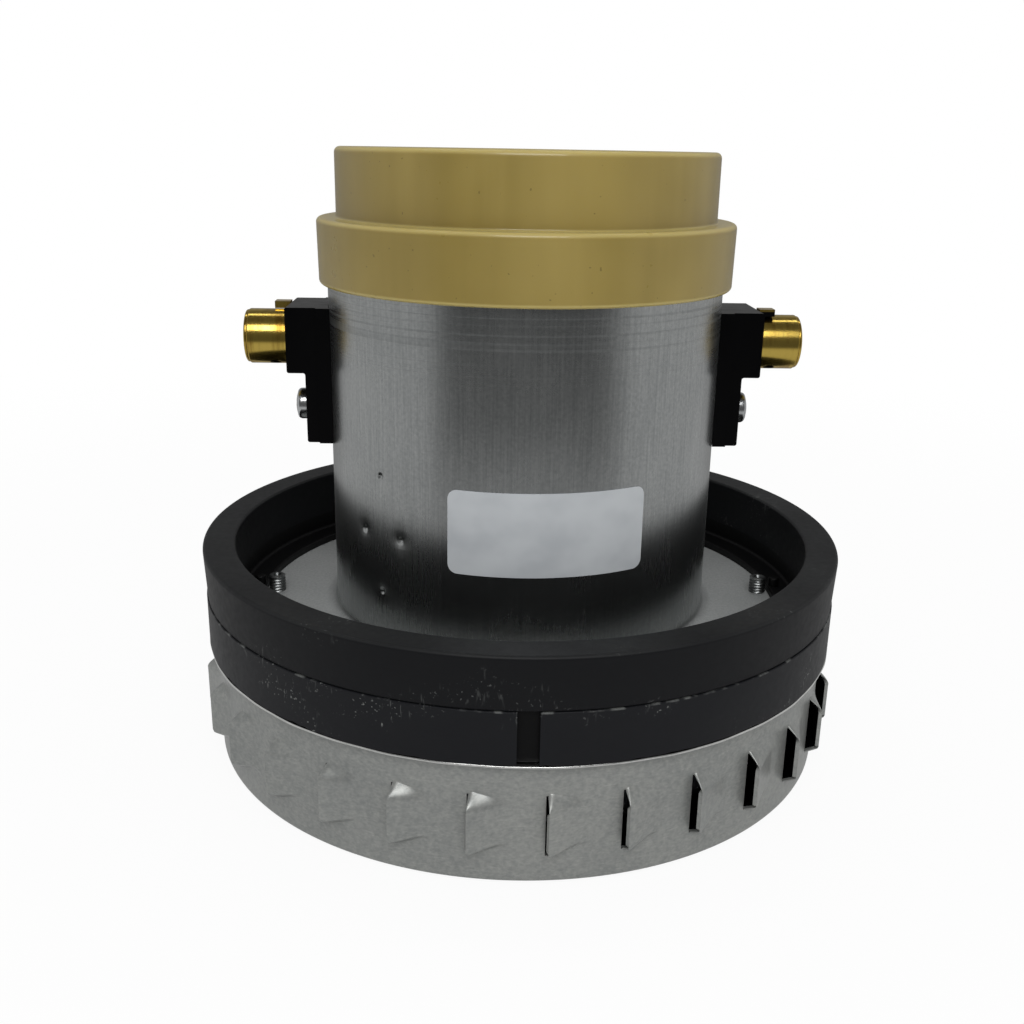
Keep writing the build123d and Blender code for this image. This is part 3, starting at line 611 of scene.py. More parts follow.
@dataclass(frozen=True)
class TurnedMetal(Finish):
    """Turned, rolled or ground metal with fine lines, tarnish and a few pits."""

    colour: Colour = shade(212, 184, 92)
    tarnish: Colour = shade(150, 116, 46)
    lines: float | Triple = (2500.0, 90.0, 90.0)
    roughness: float = 0.18

    def sockets(self, recipe: Recipe) -> dict[str, Any]:
        """Lines tint and roughen the metal; tarnish lies in slow clouds."""
        lines = recipe.noise(self.lines)
        cloud = recipe.noise(160.0, 3.0)
        tone = (0.35 * lines + 0.8 * cloud).step(0.5, 0.85)
        return {
            "Base Color": recipe.mix(tone, self.colour, self.tarnish),
            "Metallic": 1.0,
            "Roughness": self.roughness + 0.10 * (lines - 0.5) + 0.16 * (cloud - 0.5),
            "Normal": recipe.bump(lines, 0.25, 0.006),
        }


@dataclass(frozen=True)
class Laminated(Finish):
    """Stack of half-millimetre sheets seen from its side."""

    colour: Colour = shade(96, 96, 98)
    gap: Colour = shade(34, 30, 28)

    def sockets(self, recipe: Recipe) -> dict[str, Any]:
        """Dark lines every half millimetre of height, with rust in slow clouds."""
        wave = recipe.math("PINGPONG", recipe.height(), 0.00025)
        line = (1 - wave * 4000).step(0.72, 0.95)
        cloud = recipe.noise(220.0, 3.0)
        tone = (0.8 * line + 0.35 * cloud).step(0.1, 1.0)
        return {
            "Base Color": recipe.mix(tone, self.colour, self.gap),
            "Metallic": 0.8,
            "Roughness": 0.45 + 0.2 * (cloud - 0.5),
            "Normal": recipe.bump(1 - line, 0.5, 0.08),
        }


@dataclass(frozen=True)
class Paper(Finish):
    """Satin white film of a blank label."""

    colour: Colour = shade(184, 188, 191)
    worn: Colour = shade(170, 174, 178)

    def sockets(self, recipe: Recipe) -> dict[str, Any]:
        """Slight clouds and a soft fold of the film over the can."""
        cloud = recipe.noise((120.0, 120.0, 160.0))
        ripple = recipe.noise((60.0, 60.0, 110.0), 1.0)
        return {
            "Base Color": recipe.mix(cloud.step(0.3, 0.8), self.colour, self.worn),
            "Roughness": 0.38 + 0.1 * (cloud - 0.5),
            "Normal": recipe.bump(ripple, 0.25, 0.12),
        }


# The can's top part, under the cap, has painted shadow bands.
CAN_SHEET = DrawnSheet("drawn can sheet", "galvanised_steel", shadow_bands_from=0.088, satin_to=0.0322)
HOUSING_SHEET = DrawnSheet(
    "pressed housing sheet", "galvanised_steel", shade(124, 127, 126), shade(160, 161, 157),
    roughness=0.34, grain=(1300.0, 1300.0, 2300.0), grain_depth=0.02, scratches=0.25,
    spangle=900.0, metal=0.45, relief=0.3,
)
# Painted shade: the inner side of the housing sheet is near-black, for the shade inside the cup.
HOUSING_INSIDE_SHADE = DrawnSheet(
    "painted shade housing sheet", "galvanised_steel", shade(16, 16, 17), shade(30, 30, 31),
    roughness=0.6,
)
HOUSING_RIM = DrawnSheet(
    "sheared rim", "galvanised_steel", shade(205, 206, 203), shade(240, 240, 238),
    roughness=0.22, grain=400.0, scratches=0.4,
)
# The ring's skirt below the band's top has a painted shadow.
RING_RUBBER = Rubber(
    "ring rubber", "black_rubber", shade(12, 13, 16), lighter_top_from=0.0476, dirt=0.4,
    painted_shadow_to=0.0372,
)
BAND_RUBBER = Rubber(
    "band rubber", "black_rubber", shade(16, 17, 21), roughness=0.46, scuffed_at=0.0371
)
# The cap's three rims have a painted highlight.
OCHRE = Moulding(
    "ochre moulding", "ochre_moulding", specks=0.45, edges=(0.1054, 0.1186, 0.1328),
    glow=0.2, coat=0.22, gloss=0.35,
)
BLACK_MOULDING = Moulding(
    "black moulding", "black_moulding", shade(3, 3, 4), shade(5, 5, 6),
    flow=(120.0, 120.0, 40.0), roughness=0.3, gloss=0.1,
)
BRASS = TurnedMetal("rolled brass", "brass")
# Painted shade: near-black brass for the faces inside the tube's side hole.
TUBE_PIT_SHADE = TurnedMetal("shaded bore", "brass", shade(26, 21, 8), shade(12, 9, 4), roughness=0.5)
SCREW_PLATING = TurnedMetal(
    "zinc plating", "screw_steel", shade(205, 207, 208), shade(120, 122, 124), 600.0, 0.22
)
FLANGE_PLATING = TurnedMetal(
    "dulled plating", "screw_steel", shade(132, 134, 134), shade(80, 82, 82), 600.0, 0.36
)
LABEL_FILM = Paper("blank label film", "galvanised_steel")
INNER_FINISHES: tuple[Finish, ...] = (
    DrawnSheet("bracket sheet", "bracket_steel", grain=700.0),
    Laminated("laminations", "lamination_steel"),
    Moulding(
        "fan moulding", "fan_moulding", shade(30, 30, 32), shade(42, 42, 45), 60.0, 0.45
    ),
    Moulding(
        "phenolic moulding", "hub_moulding", shade(70, 42, 26), shade(92, 58, 36), roughness=0.5
    ),
    Moulding("sintered carbon", "carbon", shade(36, 36, 38), shade(50, 50, 52), roughness=0.6),
    TurnedMetal(
        "polished bearing steel", "bearing_steel", shade(205, 206, 208), shade(170, 171, 174),
        (60.0, 60.0, 3000.0), 0.12,
    ),
    TurnedMetal(
        "spring wire", "spring_steel", shade(150, 150, 152), shade(96, 96, 100), roughness=0.3
    ),
    TurnedMetal(
        "ground shaft", "shaft_steel", shade(196, 197, 199), shade(128, 128, 130),
        (120.0, 120.0, 5000.0), 0.2,
    ),
    TurnedMetal(
        "rolled aluminium", "impeller_aluminium", shade(206, 208, 210), shade(158, 160, 162),
        (1500.0, 120.0, 400.0), 0.32,
    ),
    TurnedMetal(
        "turned copper", "commutator_copper", shade(214, 140, 100), shade(110, 62, 40),
        (80.0, 80.0, 4000.0), 0.26,
    ),
    TurnedMetal(
        "enamelled wire", "copper_winding", shade(176, 84, 40), shade(92, 38, 18), 1900.0, 0.32
    ),
)
OUTER_FINISHES = (CAN_SHEET, RING_RUBBER, OCHRE, BLACK_MOULDING, BRASS, SCREW_PLATING)
CAD_FINISHES = {finish.slot: finish for finish in (*OUTER_FINISHES, *INNER_FINISHES)}


def dress(piece: bpy.types.Object, finish: Finish) -> None:
    """Gives a piece one finish all over."""
    piece.data.materials.clear()
    piece.data.materials.append(finish.material())


def fit(piece: bpy.types.Object, finish: Finish, *nodes: str, slot: bool = True) -> None:
    """Dresses a new piece of the still body and lets it stand for CAD nodes."""
    dress(piece, finish)
    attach(piece, "root")
    if nodes:
        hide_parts(*nodes)
    LOG.info("%s: %d faces", piece.name, len(piece.data.polygons))


@dataclass
class TurbineHousing:
    """Drawn cup with thirty louvres pressed out of its wall, and a turned-out rim."""

    radius: float = 71.1
    sheet: float = 0.8
    wall_top: float = 25.45
    corner: float = 1.2
    eye: float = 22.0
    eye_lip: float = 4.4
    eye_round: float = 2.2
    neck: float = 69.4
    neck_top: float = 30.4
    rim: float = 72.78
    rim_low: float = 25.6
    rim_high: float = 26.1
    rim_wander: float = 0.09
    louvres: int = 30
    first: float = -87.75
    slit: float = 0.34
    slit_low: float = 6.1
    slit_high: float = 19.0
    depth: float = 2.9
    width: float = 8.6
    brow: float = 19.6
    brow_start: float = 0.8
    brow_drop: float = 1.5
    crease_high: float = 16.0
    crease_drop: float = 0.05
    swell: float = 0.55
    chin: float = 5.6
    chin_end: float = 8.0
    chin_rise: float = 2.1
    chin_least: float = 0.7
    brow_turn: float = 0.8
    brow_tail: float = 3.0
    chin_dip: float = 0.45
    chin_flat: float = 5.8
    chin_turn: float = 7.2
    chin_tail: float = 3.6
    crease_reach: float = 8.0
    ease: float = 0.2
    swell_power: float = 1.1
    flap_power: float = 1.35
    foot_gap: float = 0.5
    lead: float = 0.4
    flat_places: tuple[float, ...] = (11.6, 13.2)
    flap_places: tuple[float, ...] = (
        0, 0.06, 0.16, 0.32, 0.55, 0.8, 1.2, 1.8, 2.6, 3.5, 4.4, 5.3, 6.2, 7.1, 7.9, 8.6, 9.6,
    )
    rim_round: float = 0.18
    rim_bend: float = 0.3
    rim_seat: float = 0.05
    rim_skin: float = 0.06
    rim_under: float = 0.4
    collar: float = 1.4
    rim_columns: int = 720
    rim_waves: tuple[Triple, ...] = ((5, 1.0, 1.0), (17, 0.7, 2.0), (41, 0.5, 0.0))

    def brow_line(self, past: np.ndarray) -> np.ndarray:
        """Upper edge of a louvre's bulge, at a distance past its lip.

        It climbs from the slit's end along a quarter ellipse, slopes down evenly
        and then runs back to the height of the next slit's end.
        """
        climb = np.sqrt(1 - (1 - np.clip(past / self.brow_start, 0, 1)) ** 2)
        rise = self.slit_high + (self.brow - self.slit_high) * climb
        slope = np.interp(
            past,
            [self.brow_start, self.width - self.brow_turn, self.width + self.brow_tail],
            [0, self.brow_drop, self.brow - self.slit_high],
        )
        return rise - slope

    def chin_line(self, past: np.ndarray) -> np.ndarray:
        """Lower edge of a louvre's bulge: a short dip at the lip, then an even climb."""
        dip = (self.slit_low - self.chin) * (1 - np.clip(past / self.chin_dip, 0, 1)) ** 2
        full = self.chin_end - self.chin
        climb = np.interp(
            past,
            [self.chin_dip, self.chin_flat, self.chin_turn, self.width + self.chin_tail],
            [0, full, full, self.slit_low - self.chin],
        )
        return self.chin + dip + climb

    def wall_grid(self, along: np.ndarray) -> tuple[np.ndarray, np.ndarray]:
        """Heights and radii of the wall over one louvre's pitch.

        The rows follow the bulge's edges. From the brow down to the crease the wall
        swells as sin(s pi u) / sin(s pi), where u goes from 0 to 1 and s is just
        over a half, so that it ends a little past its fullest; from the chin up it
        stands out along an eased ramp. The flap falls from full depth at the lip
        to nothing over its width as a power of 1 - t.

        Args:
            along: distances past the wall's cut edge.

        Returns:
            Heights and radii, rows by columns.
        """
        past = along - self.slit
        chin = self.chin_line(past)
        brow = self.brow_line(past)
        left = 1 - np.clip(past / self.width, 0, 1)
        chin_rise = self.chin_least + (self.chin_rise - self.chin_least) * left
        crease = self.crease_high - self.crease_drop * np.clip(past, 0, self.crease_reach)
        low = np.full_like(along, self.corner + self.foot_gap)
        high = np.full_like(along, self.wall_top)
        rounds = np.array([0, 0.1, 0.2, 0.35, 0.6, 0.8, 0.9])
        turns = np.array([0, 0.06, 0.12, 0.2, 0.3, 0.4, 0.5, 0.62, 0.74, 0.86, 0.94])
        swell = self.swell * math.pi
        bulge = (np.sin(swell * (1 - turns)) / np.sin(swell)) ** self.swell_power
        bands = [
            (low, chin, np.array([0, 0.5, 0.88, 0.97]), np.zeros(4)),
            (chin, chin + chin_rise, rounds, eased_ramp(rounds, self.ease, self.ease)),
            (chin + chin_rise, crease, np.array([0, 0.05, 0.5, 0.95]), np.ones(4)),
            (crease, brow, turns, bulge),
            (brow, high, np.array([0, 0.03, 0.12, 0.5, 1]), np.zeros(5)),
        ]
        heights = np.concatenate(
            [first + (last - first) * share[:, None] for first, last, share, _ in bands]
        )
        rises = np.concatenate([rise for *_, rise in bands])
        flap = self.depth * left**self.flap_power
        flap[past < 0] = 0
        return heights, self.radius + rises[:, None] * flap[None, :]

    def outline_below(self) -> np.ndarray:
        """From the eye's lip under the floor to the foot of the wall."""
        corners = [
            (self.eye, self.eye_lip, 0.0), (self.eye, 0.0, self.eye_round),
            (self.radius, 0.0, self.corner), (self.radius, self.corner + self.lead, 0.0),
        ]
        return rounded_outline(corners, closed=False)[:-1]

    def sheet_shell(self) -> Shell:
        """Thirty sectors of floor and wall; each mouth's strip of wall is left out."""
        pitch = 360 / self.louvres
        arc = math.radians(pitch) * self.radius
        flap = self.slit + np.array(self.flap_places)
        along = np.concatenate([[0], flap, self.flat_places, [arc - self.lead, arc]])
        heights, radii = self.wall_grid(along)
        below = self.outline_below()
        shape = (len(below), len(along))
        heights = np.concatenate([np.broadcast_to(below[:, 1:], shape), heights])
        radii = np.concatenate([np.broadcast_to(below[:, :1], shape), radii])
        level = (heights[:-1, 0] + heights[1:, 0]) / 2
        keep = np.ones((len(heights) - 1, len(along) - 1), bool)
        keep[:, 0] = (level < self.slit_low) | (level > self.slit_high)
        shell = Shell()
        for number in range(self.louvres):
            turn = np.radians(self.first + number * pitch + along / arc * pitch)[None, :]
            shell.add(around(radii, turn, heights), keep=keep)
        return shell

    def rim_shell(self) -> Shell:
        """Neck and turned-out rim; the rim's edge wanders by three sines of the angle."""
        inside = self.radius - self.sheet + self.rim_seat
        outside = self.radius - self.rim_skin
        low = self.rim_low - self.rim_under
        foot = self.rim_low - self.collar
        outline = rounded_outline(
            [
                (self.neck - self.sheet, low, 0.0), (inside, low, 0.0),
                (inside, foot, 0.0), (outside, foot, 0.0),
                (outside, self.rim_low, self.rim_bend),
                (self.rim, self.rim_low, self.rim_round),
                (self.rim, self.rim_high, self.rim_round),
                (self.neck, self.rim_high, self.rim_bend),
                (self.neck, self.neck_top, 0.0), (self.neck - self.sheet, self.neck_top, 0.0),
            ],
            steps=4,
        )
        angles = full_turn(self.rim_columns)
        wave = wander(np.radians(angles), self.rim_waves)
        edge = soft_step(outline[:, 0], self.radius, self.rim - self.rim_bend)
        scale = 1 + self.rim_wander * edge[:, None] * wave[None, :] / self.rim
        grid = lathe(outline, angles)
        grid[..., :2] *= scale[..., None]
        return Shell().add(grid, True, True)

    def build(self) -> None:
        """Makes the sheet with its wall's thickness, and the rim."""
        piece = self.sheet_shell().build("turbine_housing_sheet", crease=50)
        wall(piece, self.sheet, inner_finish=1)
        fit(piece, HOUSING_SHEET, "turbine_housing")
        # The inner side of the sheet gets the painted shade finish.
        piece.data.materials.append(HOUSING_INSIDE_SHADE.material())
        fit(self.rim_shell().build("turbine_housing_rim"), HOUSING_RIM)


@dataclass
class MotorCan:
    """Drawn can that flares into the flange plate, with dimples and rear vents."""

    radius: float = 43.3
    sheet: float = 1.0
    top: float = 111.0
    plate: float = 31.4
    plate_radius: float = 69.4
    flare: float = 3.0
    pit_angle: float = -134.5
    pit_side: float = 7.3
    pit_height: float = 56.1
    pit_spread: float = 12.6
    vent_low: float = 34.9
    vent_high: float = 40.4
    vent_width: float = 17.0
    vents: tuple[float, ...] = (50.0, 90.0, 130.0)
    port_height: float = 92.4
    port_half: float = 8.1
    column_step: float = 1.5
    row_step: float = 2.4
    punch_depth: float = 0.38
    punch_spread: float = 0.62
    draw_depth: float = 0.20
    draw_spread: float = 1.7
    pit_columns: tuple[float, float] = (2.7, 0.3)
    pit_rows: tuple[float, float] = (2.0, 0.25)
    near_share: float = 0.8
    column_gap: float = 0.3
    row_gap: float = 0.2
    flare_gap: float = 0.4
    top_gap: float = 0.3

    def openings(self) -> list[tuple[float, float, float, float]]:
        """Angle, half angle, foot and top of each opening: vents and brush ports."""
        vent = math.degrees(self.vent_width / 2 / self.radius)
        port = math.degrees(self.port_half / self.radius)
        low, high = self.port_height - self.port_half, self.port_height + self.port_half
        vents = [(angle, vent, self.vent_low, self.vent_high) for angle in self.vents]
        return vents + [(angle, port, low, high) for angle in (0.0, 180.0)]

    def pits(self) -> np.ndarray:
        """Angle and height of each punched pit, four on either side."""
        one = np.array(
            [
                (self.pit_angle - self.pit_side, self.pit_height),
                (self.pit_angle + self.pit_side, self.pit_height),
                (self.pit_angle, self.pit_height - self.pit_spread),
                (self.pit_angle, self.pit_height + self.pit_spread),
            ]
        )
        return np.concatenate([one, one + (180, 0)])

    def marked(self, values: np.ndarray, marks: np.ndarray, gap: float) -> np.ndarray:
        """Marks among the values, without the values that are within a gap of one."""
        clear = np.abs(values[:, None] - marks[None, :]).min(axis=1) > gap
        return np.sort(np.concatenate([values[clear], marks]))

    def refined(
        self, base: np.ndarray, places: np.ndarray, reach: float, step: float
    ) -> np.ndarray:
        """Base values with closer ones added round each place."""
        offsets = np.arange(-reach, reach + step / 2, step)
        near = (np.unique(np.round(places, 3))[:, None] + offsets[None, :]).ravel()
        return self.marked(base, near, step * self.near_share)

    def dent(self, angles: np.ndarray, heights: np.ndarray) -> np.ndarray:
        """Depth of the pits: a narrow punch mark in a wide shallow draw.

        Each is the sum of depth exp(-(d / spread)^n), with n 4 for the punch mark
        and 2 for the draw, where d is the distance over the wall from its centre.

        Args:
            angles: angles of the columns.
            heights: heights of the rows.

        Returns:
            Depth for every row and column.
        """
        depth = np.zeros((len(heights), len(angles)))
        for angle, height in self.pits():
            across = np.radians(half_turn(angles - angle))[None, :] * self.radius
            distance = np.hypot(across, (heights - height)[:, None])
            depth += self.punch_depth * np.exp(-((distance / self.punch_spread) ** 4))
            depth += self.draw_depth * np.exp(-((distance / self.draw_spread) ** 2))
        return depth

    def build(self) -> None:
        """Makes the plate, flare and wall as one surface and leaves its openings."""
        openings = self.openings()
        sides = [angle + side * half for angle, half, *_ in openings for side in (-1, 1)]
        base = np.arange(-180, 180, self.column_step)
        pits = self.pits()
        columns = self.refined(base, half_turn(pits[:, 0]), *self.pit_columns)
        columns = self.marked(columns, half_turn(np.array(sides)), self.column_gap)
        base = np.arange(self.plate + self.flare + self.flare_gap, self.top, self.row_step)
        rows = self.refined(base, pits[:, 1], *self.pit_rows)
        marks = np.unique([place for *_, low, high in openings for place in (low, high)])
        rows = self.marked(rows, marks, self.row_gap)
        rows = np.sort(np.append(rows, [self.top - self.top_gap, self.top]))
        foot = rounded_outline(
            [
                (self.plate_radius, self.plate, 0.0), (self.radius, self.plate, self.flare),
                (self.radius, self.top, 0.0),
            ],
            closed=False,
            steps=10,
        )[:-1]
        foot = foot[foot[:, 1] < rows[0] - 0.05]
        wall_points = np.stack([np.full(len(rows), self.radius), rows], axis=1)
        outline = np.concatenate([foot, wall_points])
        grid = lathe(outline, columns)
        depth = np.zeros(grid.shape[:2])
        depth[len(foot):] = self.dent(columns, rows)
        scale = 1 - depth / self.radius
        grid = grid * np.stack([scale, scale, np.ones_like(scale)], axis=-1)
        middle = np.append(columns[:-1] + columns[1:], columns[-1] + columns[0] + 360) / 2
        level = (outline[:-1, 1] + outline[1:, 1]) / 2
        keep = np.ones((len(level), len(middle)), bool)
        for angle, half, low, high in openings:
            beside = np.abs(half_turn(middle - angle)) < half
            within = (level > low) & (level < high)
            keep &= ~(within[:, None] & beside[None, :])
        piece = Shell().add(grid, close_columns=True, keep=keep).build("motor_can_sheet", 50)
        wall(piece, self.sheet)
        fit(piece, CAN_SHEET, "motor_can")


@dataclass
class BlankLabel:
    """Bare satin sticker on the front of the can, with rounded corners."""

    radius: float = 43.34
    start: float = -112.0
    end: float = -57.6
    low: float = 51.5
    high: float = 69.1
    corner: float = 2.0
    film: float = 0.12
    columns: int = 60
    rows: int = 14
    corner_rows: int = 9

    def build(self) -> None:
        """Makes a patch whose rows shorten along a quarter circle at each corner."""
        half = math.radians(self.end - self.start) * self.radius / 2
        tall = (self.high - self.low) / 2
        arc = np.sin(np.linspace(0, math.pi / 2, self.corner_rows))
        ends = tall - self.corner + self.corner * arc
        plain = np.linspace(-1, 1, self.rows)[1:-1] * ends[0]
        rows = np.concatenate([-ends[::-1], plain, ends])
        over = np.clip(np.abs(rows) - (tall - self.corner), 0, None)
        cut = self.corner - np.sqrt(np.clip(self.corner**2 - over**2, 0, None))
        share = np.linspace(-1, 1, self.columns)[None, :]
        across = share * (half - cut)[:, None]
        angle = math.radians((self.start + self.end) / 2) + across / self.radius
        radius = self.radius + self.film
        height = rows[:, None] + (self.low + self.high) / 2
        piece = Shell().add(around(radius, angle, height)).build("blank_label")
        wall(piece, self.film)
        fit(piece, LABEL_FILM, slot=False)


@dataclass
class SealRing:
    """Rubber ring on the flange plate, with its inner lip and four pips."""

    radius: float = 73.0
    bore: float = 65.8
    top: float = 48.2
    foot: float = 37.2
    taper: float = 0.55
    neck: float = 69.42
    skirt: float = 71.4
    skirt_foot: float = 26.2
    plate: float = 31.4
    lip_bore: float = 60.4
    lip: float = 1.7
    pip_place: float = 61.9
    pip_radius: float = 1.3
    pip_top: float = 35.1
    columns: int = 240
    pip_columns: int = 28

    def build(self) -> None:
        """Turns the ring's outline and stands a pip beside each screw."""
        lip_top = self.plate + self.lip
        shell = turned_shell(
            [
                (self.lip_bore, self.plate, 0.0), (self.neck, self.plate, 0.0),
                (self.neck, self.skirt_foot, 0.0), (self.skirt, self.skirt_foot, 0.3),
                (self.skirt, self.foot, 0.0), (self.radius - self.taper, self.foot, 0.25),
                (self.radius, self.top, 0.75), (self.bore, self.top, 0.6),
                (self.bore, lip_top, 0.8), (self.lip_bore, lip_top, 0.4),
            ],
            self.columns,
        )
        pip = turned_shell(
            [
                (0.0, lip_top - 1, 0.0), (self.pip_radius, lip_top - 1, 0.0),
                (self.pip_radius, self.pip_top, 0.4), (0.0, self.pip_top, 0.0),
            ],
            self.pip_columns,
            closed=False,
        )
        shell.join(pip.four(self.pip_place))
        fit(shell.build("seal_ring"), RING_RUBBER, "rubber_ring")


@dataclass
class SplitBand:
    """Flat rubber band round the housing's neck, with a gap at the front."""

    radius: float = 72.7
    bore: float = 71.5
    low: float = 26.12
    high: float = 37.1
    gap: float = 4.2
    gap_angle: float = -90.7
    edge: float = 0.22
    ragged: float = 0.09
    ragged_to: float = 1.2
    columns: int = 900
    waves: tuple[Triple, ...] = ((19, 1.0, 0.0), (53, 0.9, 1.0), (131, 0.7, 2.0))

    def build(self) -> None:
        """Carries the band's section from one side of the gap to the other.

        Its lower edge is ragged, as a band cut from strip is: it rises by the part
        above zero of a sum of three sines of the angle.
        """
        section = rounded_outline(
            [
                (self.bore, self.low, self.edge), (self.radius, self.low, self.edge),
                (self.radius, self.high, self.edge), (self.bore, self.high, self.edge),
            ],
            steps=4,
        )
        half = math.degrees(self.gap / 2 / self.radius)
        angles = np.linspace(self.gap_angle + half, self.gap_angle + 360 - half, self.columns)
        grid = lathe(section, angles)
        wave = wander(np.radians(angles), self.waves)
        low = soft_step(-section[:, 1], -(self.low + self.ragged_to), -self.low - self.edge)
        grid[..., 2] += low[:, None] * self.ragged * np.clip(wave, 0, None)[None, :]
        shell = Shell().add(grid, close_rows=True)
        shell.add_end(grid[:, 0], grid[:, 0].mean(axis=0))
        shell.add_end(grid[:, -1], grid[:, -1].mean(axis=0), flip=True)
        fit(shell.build("split_band"), BAND_RUBBER, "rubber_band")


@dataclass
class FanCover:
    """Ochre cap: skirt over the can, narrower drum and air inlet."""

    can: float = 43.35
    skirt: float = 45.3
    drum: float = 41.1
    foot: float = 105.05
    step: float = 118.75
    top: float = 133.05
    seat: float = 112.5
    inlet: float = 24.0
    wall: float = 2.2
    roof: float = 2.1
    lip: float = 1.4
    columns: int = 288

    def build(self) -> None:
        """Turns the cap's outline, rounded as a moulding is."""
        under = self.top - self.roof
        shell = turned_shell(
            [
                (self.can, self.foot, 0.35), (self.skirt - 0.25, self.foot, 0.75),
                (self.skirt, self.step, 1.0), (self.drum, self.step, 0.5),
                (self.drum, self.top, 1.25), (self.inlet, self.top, 1.2),
                (self.inlet, under - self.lip, 0.6),
                (self.inlet + self.wall, under - self.lip, 0.6),
                (self.inlet + self.wall, under, 0.4), (self.drum - self.wall, under, 1.2),
                (self.drum - self.wall, self.seat, 0.0), (self.can, self.seat, 0.0),
            ],
            self.columns,
            steps=7,
        )
        fit(shell.build("fan_cover_cap"), OCHRE, "fan_cover")


class Side(Enum):
    """Side of the motor that a brush holder stands on."""

    LEFT = "left"
    RIGHT = "right"

    def matrix(self) -> np.ndarray:
        """Places a shell that was made on the right."""
        return np.eye(4) if self is Side.RIGHT else MIRROR_X


@dataclass
class BrushHolders:
    """Both black holders, their boss trimmed level with the top of the block."""

    top: float = 99.84
    least_area: float = 1e-4

    def trimmed(self, node: bpy.types.Object) -> Shell:
        """The node's triangles brought down to the top, without any that this flattens.

        Args:
            node: the CAD holder, which stays as it is.

        Returns:
            Its form under the block's top.
        """
        mesh = node.data
        mesh.calc_loop_triangles()
        points = read_all(mesh.vertices, "co", 3).astype(float) / MM
        points[:, 2] = np.minimum(points[:, 2], self.top)
        triangles = read_all(mesh.loop_triangles, "vertices", 3, np.int32)
        first, second, third = (points[triangles[:, place]] for place in range(3))
        area = np.linalg.norm(np.cross(second - first, third - first), axis=1) / 2
        return Shell(points, triangles[area > self.least_area][:, [0, 1, 2, 2]])

    def build(self) -> None:
        """Makes both holders."""
        for side in Side:
            node = frame["nodes"][f"brush_holder_{side.value}"]
            piece = self.trimmed(node).build(f"holder_moulding_{side.value}", crease=30)
            fit(piece, BLACK_MOULDING, f"brush_holder_{side.value}")


